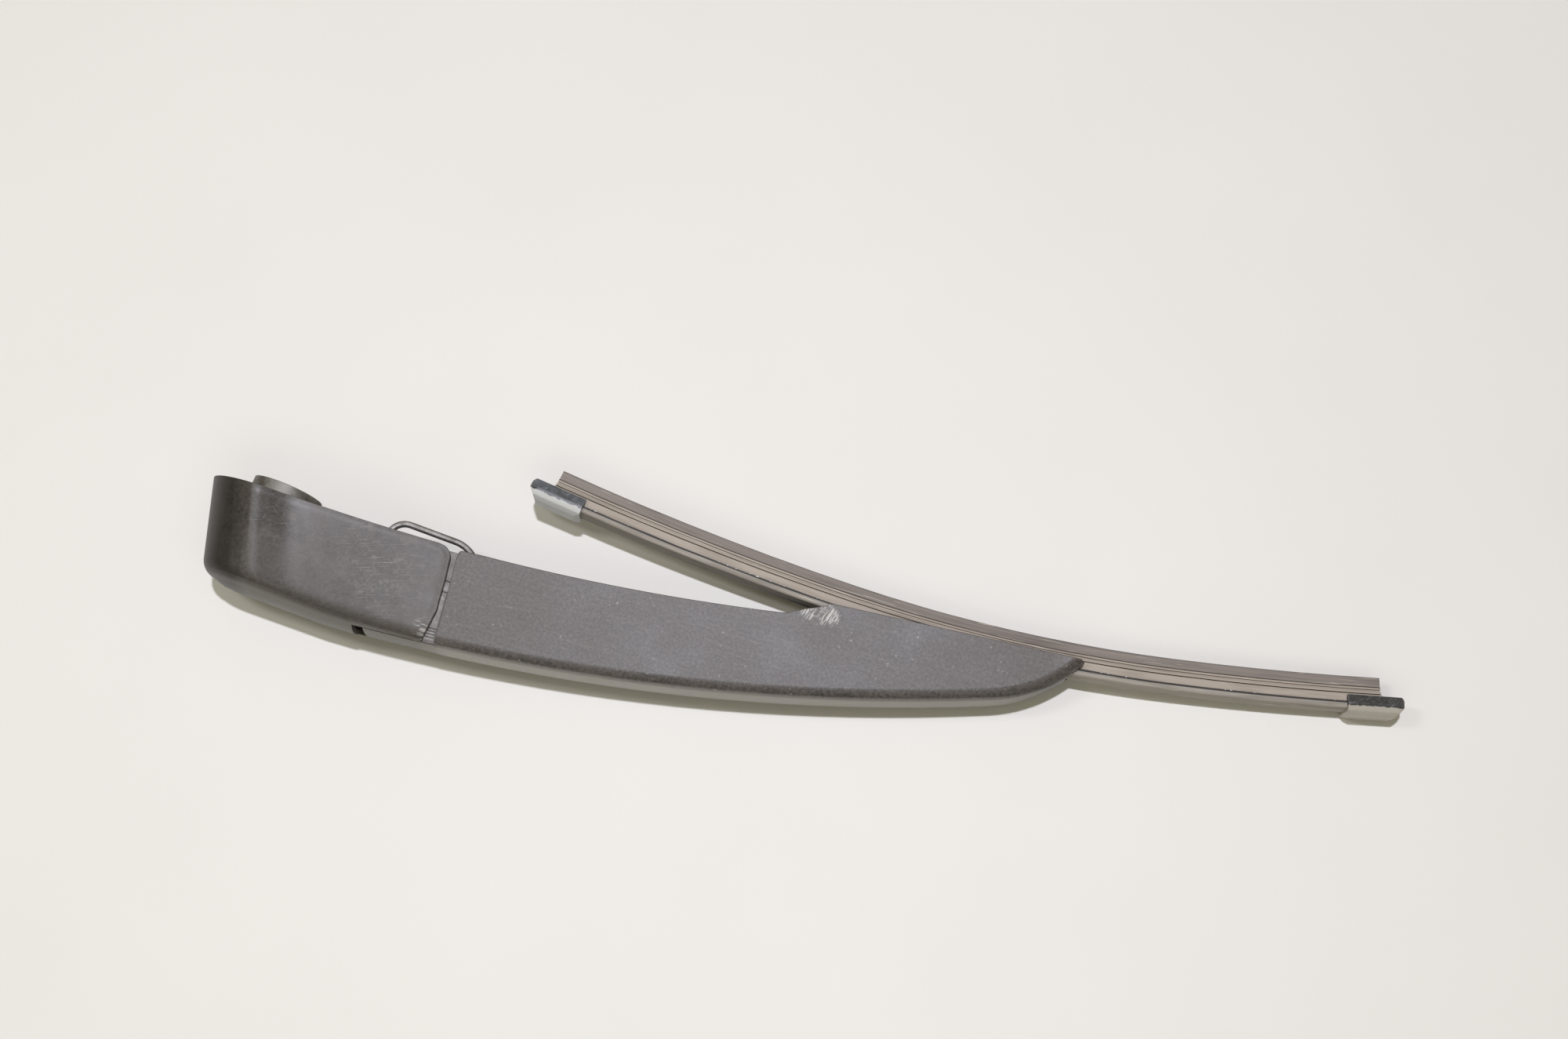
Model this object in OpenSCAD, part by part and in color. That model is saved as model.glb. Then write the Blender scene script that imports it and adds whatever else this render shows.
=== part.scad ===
// Rear window wiper: spindle head with flip-up cover, hinged channel arm held down
// by a tension spring, and a flat blade on a pivot.
// The origin is the middle of the spindle bore at its car-side mouth.
// X runs along the arm, Y points at the glass and Z runs across the arm.

/* [Spindle head] */
// Outside diameter of the boss that stands over the spindle
boss_d = 26; // [22:0.5:29]
// Bore that slides on the wiper spindle
spindle_d = 12; // [9:0.5:14]
// Depth of the spindle bore
spindle_depth = 14; // [11:0.5:16]
// Clearance hole for the threaded end of the spindle
thread_hole_d = 8.6; // [6:0.2:8.8]
// Thickness of the floor that the spindle nut clamps
nut_floor = 6; // [4:0.5:8]
// Width of the slot that the hook swings in
hook_slot = 3.6; // [3.2:0.1:4.4]

/* [Head cover] */
// Width of the cover across the spindle end
cover_w = 43; // [41:0.5:47]
// Distance from the boss mouth to the cover's back
cover_back = 41.2; // [40:0.2:43]
// Wall of the cover
cover_wall = 2.2; // [1.6:0.1:2.6]
// Lean of the cover's round end
cover_lean = 17.5; // [12:0.5:20]
// Rounding between the cover's walls and its back
cover_edge_r = 4.5; // [3.5:0.5:5.5]
// Bulge of the cover's back between its rounded edges
cover_crown = 1.6; // [0.8:0.2:2.4]

/* [Hinge] */
// Distance from the spindle axis to the hinge pin
pin_x = 55.3; // [54.5:0.1:56]
// Distance of the hinge pin behind the boss mouth
pin_back = 25.5; // [25:0.1:26]
// Diameter of the hinge pin
pin_d = 6; // [5:0.25:7]

/* [Arm] */
// Width of the arm
arm_w = 20; // [19:0.5:22]
// Wall of the arm
arm_wall = 2; // [1.6:0.1:2.3]
// Radius of the bow along the arm's back
arm_bow_r = 757; // [750:1:765]
// Rounding between the arm's walls and its back
arm_edge_r = 4.5; // [4:0.5:6]
// Step by which the ears sit inside the arm's walls
ear_step = 1; // [0.8:0.1:1.4]

/* [Spring and hook] */
// Wire of the hook
hook_wire_d = 2.45; // [2.2:0.05:2.6]
// Wire of the tension spring
spring_wire_d = 1.9; // [1.6:0.1:2.1]
// Outside diameter of the tension spring
spring_d = 9.6; // [9.2:0.2:10.4]
// Number of coils in the tension spring
spring_turns = 24; // [18:1:25]
// Diameter of the pin that anchors the hook in the head
anchor_d = 4; // [3:0.25:4.5]
// Diameter of the pin that holds the spring in the arm
spring_pin_d = 5; // [4:0.25:5.5]

/* [Blade] */
// Rubber length from the middle of the bow to the spindle end
blade_inner = 176.5; // [170:0.5:180]
// Rubber length from the middle of the bow to the free end
blade_outer = 136; // [130:0.5:145]
// Height of the rubber lip over the steel rails
lip_h = 10.2; // [9:0.2:11]
// Thickness of each steel rail
rail_t = 0.84; // [0.7:0.02:0.9]
// Width across the spoiler
spoiler_w = 11; // [10.6:0.2:11.4]
// Length of an end cap
cap_l = 21; // [18:0.5:24]
// Diameter of the blade's pivot pin
blade_pin_d = 5; // [4:0.25:5.5]

/* [Hidden] */
// facets of a preview circle and of a preview circle as wide as the bow
round_sides = 64;
bow_sides = 720;
$fn = round_sides;
// clearances
running_gap = 0.05;
seat_gap = 0.03;
side_gap = 0.35;
cut = 1;
far = 200;

// head
seat_depth = spindle_depth + nut_floor;
bush_wall = 3;
bush_d = spindle_d + 2 * bush_wall;
eye_r = pin_d / 2 + 4;
pin = [pin_x, -pin_back];
anchor = [pin_x - 10.3, 17.5 - pin_back];

// arm
hw = arm_w / 2;
inner_hw = hw - arm_wall;
ear_hw = hw - ear_step;
ear_t = 2.2;
ear_in = ear_hw - ear_t;
bush_flange_t = 0.25;
eye_gap = 0.25;
eye_w = 2 * (ear_in - bush_flange_t - eye_gap);
back_drop = 11.8;
arm_pitch = 7.47;
arm_crown_r = 60;
arm_reach = 45;
tip_r = 56;
main_end = 23.9;
tip_sweep = 38.5;
tongue_start = 6.82;
tongue_x = 47.2;
ear_edge_r = 1.35;
bow = pin + (arm_bow_r - back_drop) * [-sin(arm_pitch), cos(arm_pitch)];

// cover
cover_hinge_hw = ear_hw + side_gap + cover_wall;
cover_end_r = cover_w / 2;
cover_draft = 0.16;
cover_hinge_edge_r = 2.6;
cover_levels = 5;
flank_steps = 7;
end_steps = 22;
cover_mid_x = -4.8;
cover_end_x = 72;
mouth_left = [-27, -6.4];
mouth_right = [61, 0.4];
mouth_sag = 0.9;
pad_r = 5.6;
pad_t = 1.8;

// spring and hook
hook_r = hook_wire_d / 2;
coil_r = (spring_d - spring_wire_d) / 2;
spring_pin = anchor + [105, 3];
link_len = norm(spring_pin - anchor);
link_pitch = atan2(3, 105);
coil_start = 44;
loop_r = spring_pin_d / 2 + spring_wire_d / 2 + 0.2;
coil_end = link_len - loop_r - spring_wire_d;

// blade
blade_mid = [265.57, 40.03];
blade_pitch = 8.7;
bow_r = 591.4;
end_r = 1137;
bow_half = 60;
pivot_s = -17;
pivot_n = -7;
rail_n = rail_t / 2;
rail_in = 1.4;
rail_out = 4.8;
spoiler_hw = spoiler_w / 2;
adapter_l = 26;
bracket_l = 32;
bracket_gap = 0.6;
cap_over = 8;
cap_hw = 7.3;
carrier_hw = inner_hw - 0.05;

// A point at a distance and a polar angle from another
function polar(c, r, a) = c + r * [cos(a), sin(a)];

// Points along an arc from angle a to angle b
function arc(c, r, a, b, n = 8) = [for (i = [0:n]) polar(c, r, a + (b - a) * i / n)];

// A point and its left-hand normal at a length along the blade
function blade_point(s) =
    let (m = min(max(s, -bow_half), bow_half), a = m / bow_r * 180 / PI)
    let (p = [bow_r * sin(a), bow_r * (1 - cos(a))], d = s - m)
    let (e = a + d / end_r * 180 / PI, c = p + end_r * [-sin(a), cos(a)])
    d == 0 ? p : c + end_r * [sin(e), -cos(e)];
function blade_angle(s) =
    let (m = min(max(s, -bow_half), bow_half))
    (m / bow_r + (s - m) / end_r) * 180 / PI;

// Puts children in the frame of the blade at a length along it
module at_blade(s) {
    translate(blade_mid)
        rotate(blade_pitch)
            translate(blade_point(s))
                rotate(blade_angle(s))
                    children();
}

// Puts children in the frame of the blade's pivot
module at_pivot() {
    at_blade(pivot_s)
        translate([0, pivot_n])
            children();
}

// Sweeps a profile, drawn as depth from the rails and width, from s0 to s1 along the blade
module along_blade(s0, s1) {
    knots = [max(s0, -bow_half), min(s1, bow_half)];
    first = s0 > -bow_half ? 1 : 0;
    translate(blade_mid)
        rotate(blade_pitch) {
            if (knots[1] > knots[0])
                bend(bow_r, knots[first], knots[1 - first])
                    children();
            if (s0 < -bow_half)
                bend(end_r, min(s1, -bow_half), s0)
                    children();
            if (s1 > bow_half)
                bend(end_r, max(s0, bow_half), s1)
                    children();
        }
}

// One arc of a sweep at radius r that starts at the length s0 and ends at s1
module bend(r, s0, s1) {
    translate(blade_point(s0))
        rotate(blade_angle(s0))
            translate([0, r])
                rotate(-90)
                    rotate_extrude(angle = (s1 - s0) / r * 180 / PI, $fn = bow_sides)
                        translate([r, 0])
                            children();
}

// Closed ring of blade profile points from one half, mirrored about the middle
function both(half) = concat(half, [for (i = [len(half) - 1:-1:0]) [half[i].x, -half[i].y]]);

// Outline of the arm's section: flat walls, rounded corners and a crowned back at radius r
module arm_section(r, w, edge, crown) {
    intersection() {
        union() {
            translate([r - arm_reach, -w])
                square([arm_reach - edge, 2 * w]);
            translate([r - arm_reach, edge - w])
                square([arm_reach, 2 * (w - edge)]);
            for (s = [-1, 1])
                translate([r - edge, s * (w - edge)])
                    circle(r = edge, $fn = round_sides);
        }
        translate([r - crown, 0])
            circle(r = crown, $fn = 2 * round_sides);
    }
}

// Solid arm body inset by a wall, between two angles along the bow and round the tip
module arm_body(inset, w, a0, a1, tip, edge_r = arm_edge_r) {
    edge = edge_r - inset;
    translate(bow)
        rotate(a1 - 90) {
            rotate_extrude(angle = a0 - a1, $fn = bow_sides)
                arm_section(arm_bow_r - inset, w, edge, arm_crown_r - inset);
            if (tip > 0)
                translate([arm_bow_r - tip_r, 0])
                    rotate_extrude(angle = tip)
                        arm_section(tip_r - inset, w, edge, arm_crown_r - inset);
        }
}

// Side view of the arm beyond the ears: shoulder, bowed rim, hump and straight rim to the tip
module arm_side() {
    rim_mid = [-22.5, 803.7];
    rim_r = 807.4;
    polygon(concat(
        [[74.3, -40.9], [68.3, -1.9], [68.3, 0.5], [69, 1.2]],
        arc(rim_mid, rim_r, -82.9, -75.3, 24),
        arc([183.6, 28.2], 4.9, -75, -40, 5),
        arc([201.5, 28.6], 4.5, 142, 99.5, 6),
        [[290.1, 47.4], [291.5, 46.9], [292.2, 45.5], [296, 20], [240, -30]]));
}

// Side view of the ears and of the tongue behind them
module ear_side() {
    polygon(concat(
        [[78, -30], [78, 1.4], [71, 0.4], [66, -0.9], [62.4, -2.6]],
        arc(pin, eye_r + 2.4, 150, 200, 6),
        [[tongue_x, -33], [tongue_x, -45], [75.6, -45], [73.4, -31]]));
}

// Slot in the tip's back that the blade leaves through
module blade_exit() {
    at_blade(20)
        translate([-22, -4.2, 1.5 - inner_hw])
            cube([60, 20, 2 * inner_hw - 3]);
}

module arm_shell() {
    color("#3b3a3a")
        difference() {
            union() {
                difference() {
                    intersection() {
                        arm_body(0, hw, tongue_start, main_end, tip_sweep);
                        linear_extrude(height = 2 * arm_w, center = true)
                            arm_side();
                    }
                    arm_body(arm_wall, inner_hw, tongue_start - cut, main_end, tip_sweep + cut);
                }
                difference() {
                    intersection() {
                        arm_body(0.15, ear_hw, tongue_start - cut, main_end, 0, ear_edge_r);
                        linear_extrude(height = 2 * arm_w, center = true)
                            ear_side();
                    }
                    arm_body(arm_wall + 0.2, ear_in, tongue_start - 2 * cut, main_end, 0);
                }
                intersection() {
                    arm_body(0.5, hw - 0.5, tongue_start, main_end, tip_sweep);
                    arm_ribs();
                }
            }
            ear_bores();
            translate([spring_pin.x, spring_pin.y])
                cylinder(r = spring_pin_d / 2 + seat_gap, h = 2 * (hw - 2.4), center = true);
            blade_exit();
        }
}

// Bosses for the spring pin, cross ribs on the floor and the seats of the blade carrier
module arm_ribs() {
    boss_r = spring_pin_d / 2 + 2.2;
    for (s = [-1, 1])
        translate([spring_pin.x, spring_pin.y, s * (hw - 2.25)])
            cylinder(r = boss_r, h = 4.5, center = true);
    for (s = [-1, 1])
        translate([spring_pin.x - 1, spring_pin.y - 20, s * (hw - 2.25) - 2.25])
            cube([2, 20 - spring_pin_d / 2 - 0.4, 4.5]);
    for (a = [17.6, 18.5, 19.4])
        translate(bow)
            rotate(a - 90)
                translate([arm_bow_r - arm_wall - 7, -0.8, -hw])
                    cube([8, 1.6, arm_w]);
    for (x = [-12, 9.5])
        at_pivot()
            translate([x - 0.8, -20, -hw])
                cube([1.6, 20 + carrier_floor, arm_w]);
}

module ear_bores() {
    translate(pin)
        cylinder(r = ear_bush_r + seat_gap, h = 3 * arm_w, center = true);
}

// Flanged bush in one ear, drawn for the side s
ear_bush_r = pin_d / 2 + 1.2;
module ear_bush(s) {
    translate(pin)
        difference() {
            union() {
                translate([0, 0, s > 0 ? ear_in : -ear_hw])
                    cylinder(r = ear_bush_r, h = ear_t);
                translate([0, 0, s > 0 ? ear_in - bush_flange_t : -ear_in])
                    cylinder(r = ear_bush_r + 1, h = bush_flange_t);
            }
            cylinder(r = pin_d / 2 + running_gap, h = 3 * arm_w, center = true);
        }
}

module ear_bush_upper() {
    color("#8d7b55")
        ear_bush(1);
}

module ear_bush_lower() {
    color("#8d7b55")
        ear_bush(-1);
}

pin_half = ear_hw + 2;
module hinge_pin() {
    color("#9a9c9e")
        translate(pin) {
            cylinder(r = pin_d / 2, h = 2 * pin_half - 1, center = true);
            for (s = [-1, 1])
                translate([0, 0, s * (pin_half - 0.25)])
                    cylinder(r1 = pin_d / 2 - (s > 0 ? 0 : 0.5), r2 = pin_d / 2 - (s > 0 ? 0.5 : 0),
                             h = 0.5, center = true);
        }
}

// Outer or inner form of the cover, inset by a wall: rings from the mouth down to the back's spine
module cover_body(inset) {
    back = cover_crown - cover_back + inset;
    top_levels = [for (i = [0:3])
        cover_ring(12 + (back + cover_edge_r - inset - 12) * i / 3, inset, 0, 0, 0)];
    edge_levels = [for (i = [1:cover_levels])
        let (a = 90 * i / cover_levels)
            cover_ring(back + (cover_edge_r - inset) * (1 - sin(a)), inset, 1 - cos(a), 0, 0)];
    crown_levels = [for (u = [0.3, 0.6, 0.9])
        cover_ring(back, inset, 1, u, cover_crown * (1 - (1 - u) * (1 - u)))];
    rings = concat(top_levels, edge_levels, crown_levels);
    n = len(rings[0]);
    last = (len(rings) - 1) * n;
    polyhedron(
        points = [for (ring = rings) each ring],
        faces = concat(
            [for (k = [0:(n - 3) / 2])
                each split(n - 1 - k, n - 2 - k, k, k + 1)],
            [for (j = [0:len(rings) - 2], k = [0:n - 1])
                each split(j * n + k, j * n + (k + 1) % n, (j + 1) * n + k, (j + 1) * n + (k + 1) % n)],
            [for (k = [0:(n - 3) / 2])
                each split(last + k, last + k + 1, last + n - 1 - k, last + n - 2 - k)]));
}

// Two triangles between two points of a ring and the two below them
function split(a, b, c, d) = b == d ? [[b, a, c]] : [[b, a, c], [b, c, d]];

// One ring of the cover: hinge end, straight flanks and a round end that leans in with depth.
// It is rounded by a share of the edge, then drawn in by the share u towards the back's spine.
function cover_ring(y, inset, rounded, u, bulge) =
    let (d = mouth_left.y - y,
         depth = max(d / (cover_back + mouth_left.y), 0),
         end_r = cover_end_r - cover_draft * d - inset - rounded * (cover_edge_r - inset),
         hinge_w = cover_hinge_hw - inset - rounded * (cover_hinge_edge_r - min(inset, cover_hinge_edge_r)),
         mid_x = cover_mid_x + max((tan(cover_lean) - cover_draft) * d, -8),
         side = cover_flank(cover_end_x - mid_x, hinge_w, end_r),
         upper = [for (q = side) [q.x + mid_x - (q.x < 0 ? q.x * 0.6 * u : 0), q.y * (1 - u)]],
         n = len(upper))
    [for (k = [0:2 * n - 2])
        let (q = k < n ? upper[k] : upper[2 * n - 2 - k])
            [q.x, y + cover_rise(q.x) * depth - bulge, k < n ? q.y : -q.y]];

// Points from the hinge end along the flank and round to the tip of the end, about the end's middle
function cover_flank(span, w, r) =
    let (touch = atan2(w, span) + acos(r / norm([span, w])), foot = polar([0, 0], r, touch))
    concat([for (i = [0:flank_steps - 1]) [span, w] + (foot - [span, w]) * i / flank_steps],
           arc([0, 0], r, touch, 180, end_steps));

// How far the back rises at x: little under the nut, more towards the hinge
function cover_rise(x) = 0.025 * max(x, 0) + 0.11 * max(x - 36, 0);

// Side view of the cover: bowed mouth, rounded hinge edge, back left open for the tongue
module cover_side() {
    mid = (mouth_left + mouth_right) / 2;
    half = norm(mouth_right - mouth_left) / 2;
    sag_r = (half * half + mouth_sag * mouth_sag) / (2 * mouth_sag);
    tilt = atan2(mouth_right.y - mouth_left.y, mouth_right.x - mouth_left.x);
    mouth_mid = mid + (sag_r - mouth_sag) * [-sin(tilt), cos(tilt)];
    spread = asin(half / sag_r);
    difference() {
        polygon(concat(
            arc(mouth_mid, sag_r, tilt - 90 - 1.2 * spread, tilt - 90 + spread, 24),
            arc([62.3, -4], 4.35, 96, 10, 8),
            [[68.1, -11.7]],
            arc([60.8, -22.5], 8.75, 18, -10, 4),
            arc([66.1, -33.1], 2.7, 5, -75, 6),
            [[66, -60], [-60, -60]]));
    }
}

module head_cover() {
    color("#2c2b2b")
        difference() {
            union() {
                difference() {
                    cover_body(0);
                    cover_body(cover_wall);
                }
                cover_pads();
            }
            difference() {
                translate([-100, -100, -60])
                    cube([300, 200, 120]);
                linear_extrude(height = 140, center = true)
                    cover_side();
            }
            tongue_window();
            translate(pin)
                cylinder(r = pin_d / 2 + running_gap, h = 2 * pin_half + 0.5, center = true);
        }
}

// Pads inside the cover's side walls that sit on the ends of the hinge pin
module cover_pads() {
    translate(pin)
        for (s = [-1, 1])
            translate([0, 0, s * (ear_hw + side_gap + pad_t / 2)])
                cylinder(r = pad_r, h = pad_t, center = true);
}

// Opening in the cover's back for the arm's tongue, longer than it by the room to flip
window_x = tongue_x - 4;
module tongue_window() {
    translate([window_x, -60, -ear_hw - side_gap])
        cube([60, 60 - pin_back - 5, 2 * (ear_hw + side_gap)]);
}

// Tip of the catch, a little short of the cover's inner wall
catch_y = 4 - seat_depth;
catch_gap = 0.8;
catch_x = cover_mid_x - cover_end_r + cover_wall + (mouth_left.y - catch_y) * tan(cover_lean) + catch_gap;

// Cast carrier inside the cover: boss, floor, cheeks with the hook slot, eye and catch
module mounting_head() {
    color("#6d6a66")
        difference() {
            union() {
                rotate([90, 0, 0])
                    cylinder(d = boss_d, h = seat_depth);
                translate([0, -8, 0])
                    rotate([90, 0, 0])
                        cylinder(d1 = boss_d, d2 = boss_d + 5, h = 3);
                translate([0, -11, 0])
                    rotate([90, 0, 0])
                        cylinder(d = boss_d + 5, h = seat_depth - 11);
                linear_extrude(height = eye_w, center = true)
                    web_side();
                translate([0, -seat_depth + 1, 0])
                    rotate([-90, 0, 0])
                        linear_extrude(height = 8)
                            polygon([[0, -14], [36, -eye_w / 2], [36, eye_w / 2], [0, 14]]);
                translate([catch_x + 0.7, catch_y, -5])
                    cube([10, 5, 10]);
                translate([catch_x, catch_y, -4])
                    cube([2, 1.8, 8]);
            }
            hook_room();
            rotate([90, 0, 0])
                cylinder(d = thread_hole_d, h = 2 * far, center = true);
            translate([0, cut, 0])
                rotate([90, 0, 0])
                    cylinder(r = bush_d / 2 + seat_gap, h = spindle_depth + cut);
            translate(pin)
                cylinder(r = pin_d / 2 + seat_gap, h = far, center = true);
            translate([anchor.x, anchor.y])
                cylinder(r = anchor_d / 2 + seat_gap, h = eye_w - 2, center = true);
            for (s = [-1, 1])
                translate([26, -9.6, s * (eye_w / 2)])
                    cube([16, 5.4, 3], center = true);
        }
}

// Side view of the carrier's web from the boss to the eye
module web_side() {
    polygon([[5, -5.6], [36, -4.6], [48, -3.6], [54, -6], [62, -19],
             [pin.x + 4, pin.y], [pin.x - eye_r + 1, pin.y], [47, -17.5],
             [40, -14.6], [5, 1 - seat_depth]]);
    translate(pin)
        circle(r = eye_r);
}

// Room for the hook: round its anchor and everything above the eye
module hook_room() {
    r = anchor_d / 2 + hook_wire_d + 1;
    linear_extrude(height = hook_slot, center = true) {
        translate(anchor)
            circle(r = r);
        polygon([[anchor.x - r, anchor.y], [anchor.x - r - 1.5, anchor.y + 4.4],
                 [anchor.x - r - 1.5, 10], [80, 10],
                 [80, pin.y + eye_r + 1.2], [53.5, pin.y + eye_r + 1.2],
                 [anchor.x + r, anchor.y - 3.6], [anchor.x, anchor.y]]);
    }
}

module spindle_bush() {
    color("#8f9194")
        rotate([90, 0, 0])
            difference() {
                cylinder(d = bush_d, h = spindle_depth);
                translate([0, 0, -cut])
                    cylinder(d = spindle_d, h = spindle_depth + 2 * cut);
            }
}

module anchor_pin() {
    color("#9a9c9e")
        translate([anchor.x, anchor.y, 0])
            cylinder(d = anchor_d, h = eye_w - 2.2, center = true);
}

module spring_pin() {
    color("#9a9c9e")
        translate([spring_pin.x, spring_pin.y, 0])
            cylinder(d = spring_pin_d, h = 2 * (hw - 2.5), center = true);
}

// Skin of a tube whose rings of points are listed one after the other
module tube(rings) {
    sides = len(rings[0]);
    last = len(rings) - 1;
    polyhedron(
        points = [for (ring = rings) each ring],
        faces = concat(
            [[for (k = [0:sides - 1]) k]],
            [for (i = [0:last - 1], k = [0:sides - 1])
                [i * sides + k, (i + 1) * sides + k, (i + 1) * sides + (k + 1) % sides]],
            [for (i = [0:last - 1], k = [0:sides - 1])
                [i * sides + k, (i + 1) * sides + (k + 1) % sides, i * sides + (k + 1) % sides]],
            [[for (k = [sides - 1:-1:0]) last * sides + k]]));
}

// Ring of wire points round p, square to the heading a
function wire_ring(p, a, r, sides) =
    [for (k = [0:sides - 1])
        let (b = 360 * k / sides)
        [p.x - r * sin(a) * cos(b), p.y + r * cos(a) * cos(b), r * sin(b)]];

// Rings along a bend round c, turning left for a1 above a0 and right below it
function bend_rings(c, rb, a0, a1, n) =
    [for (i = [0:n])
        let (a = a0 + (a1 - a0) * i / n)
        wire_ring(polar(c, rb, a), a + (a1 > a0 ? 90 : -90), hook_r, 16)];

// Hook: curl round its anchor, leg, hump over the hinge, drop into the arm and shank
module spring_hook() {
    curl_r = anchor_d / 2 + running_gap * 2 + hook_r;
    rise_r = 6.5;
    fall_r = 12;
    foot_r = 6;
    ridge = 1.2;
    fall = 45;
    top_y = 4.75;
    leg_lean = 16;
    leg_foot = polar(anchor, curl_r, 180 + leg_lean);
    leg_top_y = top_y - rise_r - rise_r * sin(leg_lean);
    rise_mid = [leg_foot.x - (leg_top_y - leg_foot.y) * tan(leg_lean) + rise_r * cos(leg_lean),
                top_y - rise_r];
    crest = polar(rise_mid, rise_r, 90 + ridge);
    fall_mid = [64.2, crest.y + (64.2 - crest.x) * tan(ridge) - fall_r];
    slope = polar(fall_mid, fall_r, 90 - fall);
    turn = fall + link_pitch;
    meet_x = slope.x + (slope.y - hook_line(slope.x)) / (1 + tan(link_pitch));
    meet = [meet_x, hook_line(meet_x)];
    foot_in = meet + foot_r * tan(turn / 2) * [-cos(fall), sin(fall)];
    foot_mid = foot_in + foot_r * [sin(fall), cos(fall)];
    color("#77746f")
        tube(concat(
            bend_rings(anchor, curl_r, 400, 180 + leg_lean, 20),
            bend_rings(rise_mid, rise_r, 180 + leg_lean, 90 + ridge, 10),
            bend_rings(fall_mid, fall_r, 90 + ridge, 90 - fall, 8),
            bend_rings(foot_mid, foot_r, -90 - fall, link_pitch - 90, 6),
            [wire_ring(polar(anchor, coil_start + 16, link_pitch), link_pitch, hook_r, 16)]));
}

// Height of the line from the hook's anchor to the spring pin
function hook_line(x) = anchor.y + (x - anchor.x) * tan(link_pitch);

// Ring of spring wire points round p, square to both unit vectors u and v
wire_sides = 8;
function spring_ring(p, u, v) =
    [for (k = [0:wire_sides - 1])
        p + spring_wire_d / 2 * (cos(360 * k / wire_sides) * u + sin(360 * k / wire_sides) * v)];

// Ring i of the coil, whose last one stands at the angle coil_exit
coil_steps = 16;
exit_r = 0.75 * spring_wire_d;
coil_exit = atan(coil_r / exit_r);
function coil_out(a) = [0, sin(a), cos(a)];
function coil_ring(i) =
    let (t = i / coil_steps, a = coil_exit + 360 * (t - spring_turns))
    let (x = coil_start + spring_wire_d / 2 + (coil_end - coil_start) * t / spring_turns)
    spring_ring([x, 0, 0] + coil_r * coil_out(a), coil_out(a), [1, 0, 0]);

// Ring where the wire has turned by b out of the coil and into the line of pull
function exit_ring(b) =
    let (u = coil_out(coil_exit), h = [0, cos(coil_exit), -sin(coil_exit)])
    let (p = [coil_end + spring_wire_d / 2, 0, 0] + coil_r * u)
    spring_ring(p + exit_r * [1 - cos(b), sin(b) * h.y, sin(b) * h.z], u,
                [cos(b), -sin(b) * h.y, -sin(b) * h.z]);

// Ring in the middle plane at p with the heading a
function loop_ring(p, a) =
    spring_ring([p.x, p.y, 0],
                [-sin(a) * sin(coil_exit), cos(a) * sin(coil_exit), cos(coil_exit)],
                [sin(a) * cos(coil_exit), -cos(a) * cos(coil_exit), sin(coil_exit)]);

// Extension spring: coil, turn into the middle plane and loop round the spring pin
module tension_spring() {
    out = [coil_end + spring_wire_d / 2 + exit_r, coil_r / sin(coil_exit)];
    eye = [link_len, 0];
    touch = atan2(out.y, out.x - eye.x) - acos(loop_r / norm(out - eye));
    color("#55524e")
        translate([anchor.x, anchor.y, 0])
            rotate(link_pitch)
                tube(concat(
                    [for (i = [0:coil_steps * spring_turns]) coil_ring(i)],
                    [for (b = [15:15:75]) exit_ring(b)],
                    [loop_ring(out, (touch - 90) / 2)],
                    [for (i = [0:22])
                        let (a = touch - (touch + 190) * i / 22)
                        loop_ring(polar(eye, loop_r, a), a - 90)]));
}

// Rubber: clamped foot, web between the rails, base, neck and wiping lip
module wiper_rubber() {
    color("#6e665f")
        along_blade(-blade_inner, blade_outer)
            polygon(both([
                [1.1, 3], [rail_n + 0.04, 3], [rail_n + 0.04, 1.2], [-rail_n - 0.06, 1.2],
                [-rail_n - 0.06, 4], [-3.1, 4], [-3.4, 3.7], [-3.4, 1.6], [-3.9, 1.6], [-3.9, 2.5],
                [-4.5, 2.5], [-4.8, 2.2], [-4.8, 0.8], [-5.6, 0.8], [-5.6, 1.7], [-6.2, 1.7],
                [-6.8, 0.75], [-lip_h, 0.35]]));
}

module rail(s) {
    along_blade(-blade_inner + 1, blade_outer - 1)
        translate([-rail_n, s > 0 ? rail_in : -rail_out])
            square([rail_t, rail_out - rail_in]);
}

module rail_upper() {
    color("#6f7173")
        rail(1);
}

module rail_lower() {
    color("#6f7173")
        rail(-1);
}

// Backing strip between s0 and s1 that grips the rails from behind
module spoiler(s0, s1) {
    along_blade(s0, s1)
        polygon(both([
            [2.9, 1.6], [2.2, spoiler_hw - 0.3], [1.8, spoiler_hw], [0, spoiler_hw],
            [-0.15, spoiler_hw - 0.15], [-0.15, rail_out + 0.1], [rail_n + 0.04, rail_out + 0.1],
            [rail_n + 0.04, 3.15], [1.25, 3.15]]));
}

module spoiler_inner() {
    color("#454240")
        spoiler(-blade_inner + cap_l - cap_over + 0.1, pivot_s - bracket_l / 2 - bracket_gap);
}

module spoiler_outer() {
    color("#454240")
        spoiler(pivot_s + bracket_l / 2 + bracket_gap, blade_outer - cap_l + cap_over - 0.1);
}

// Steel bracket folded round both rails under the pivot
module blade_bracket() {
    half = rail_out + 1.3;
    color("#7d7f82")
        along_blade(pivot_s - bracket_l / 2, pivot_s + bracket_l / 2)
            polygon(both([
                [2.4, half], [-1.3, half], [-1.3, 4.2], [-rail_n - 0.1, 4.2],
                [-rail_n - 0.1, rail_out + 0.1], [1.25, rail_out + 0.1]]));
}

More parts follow.
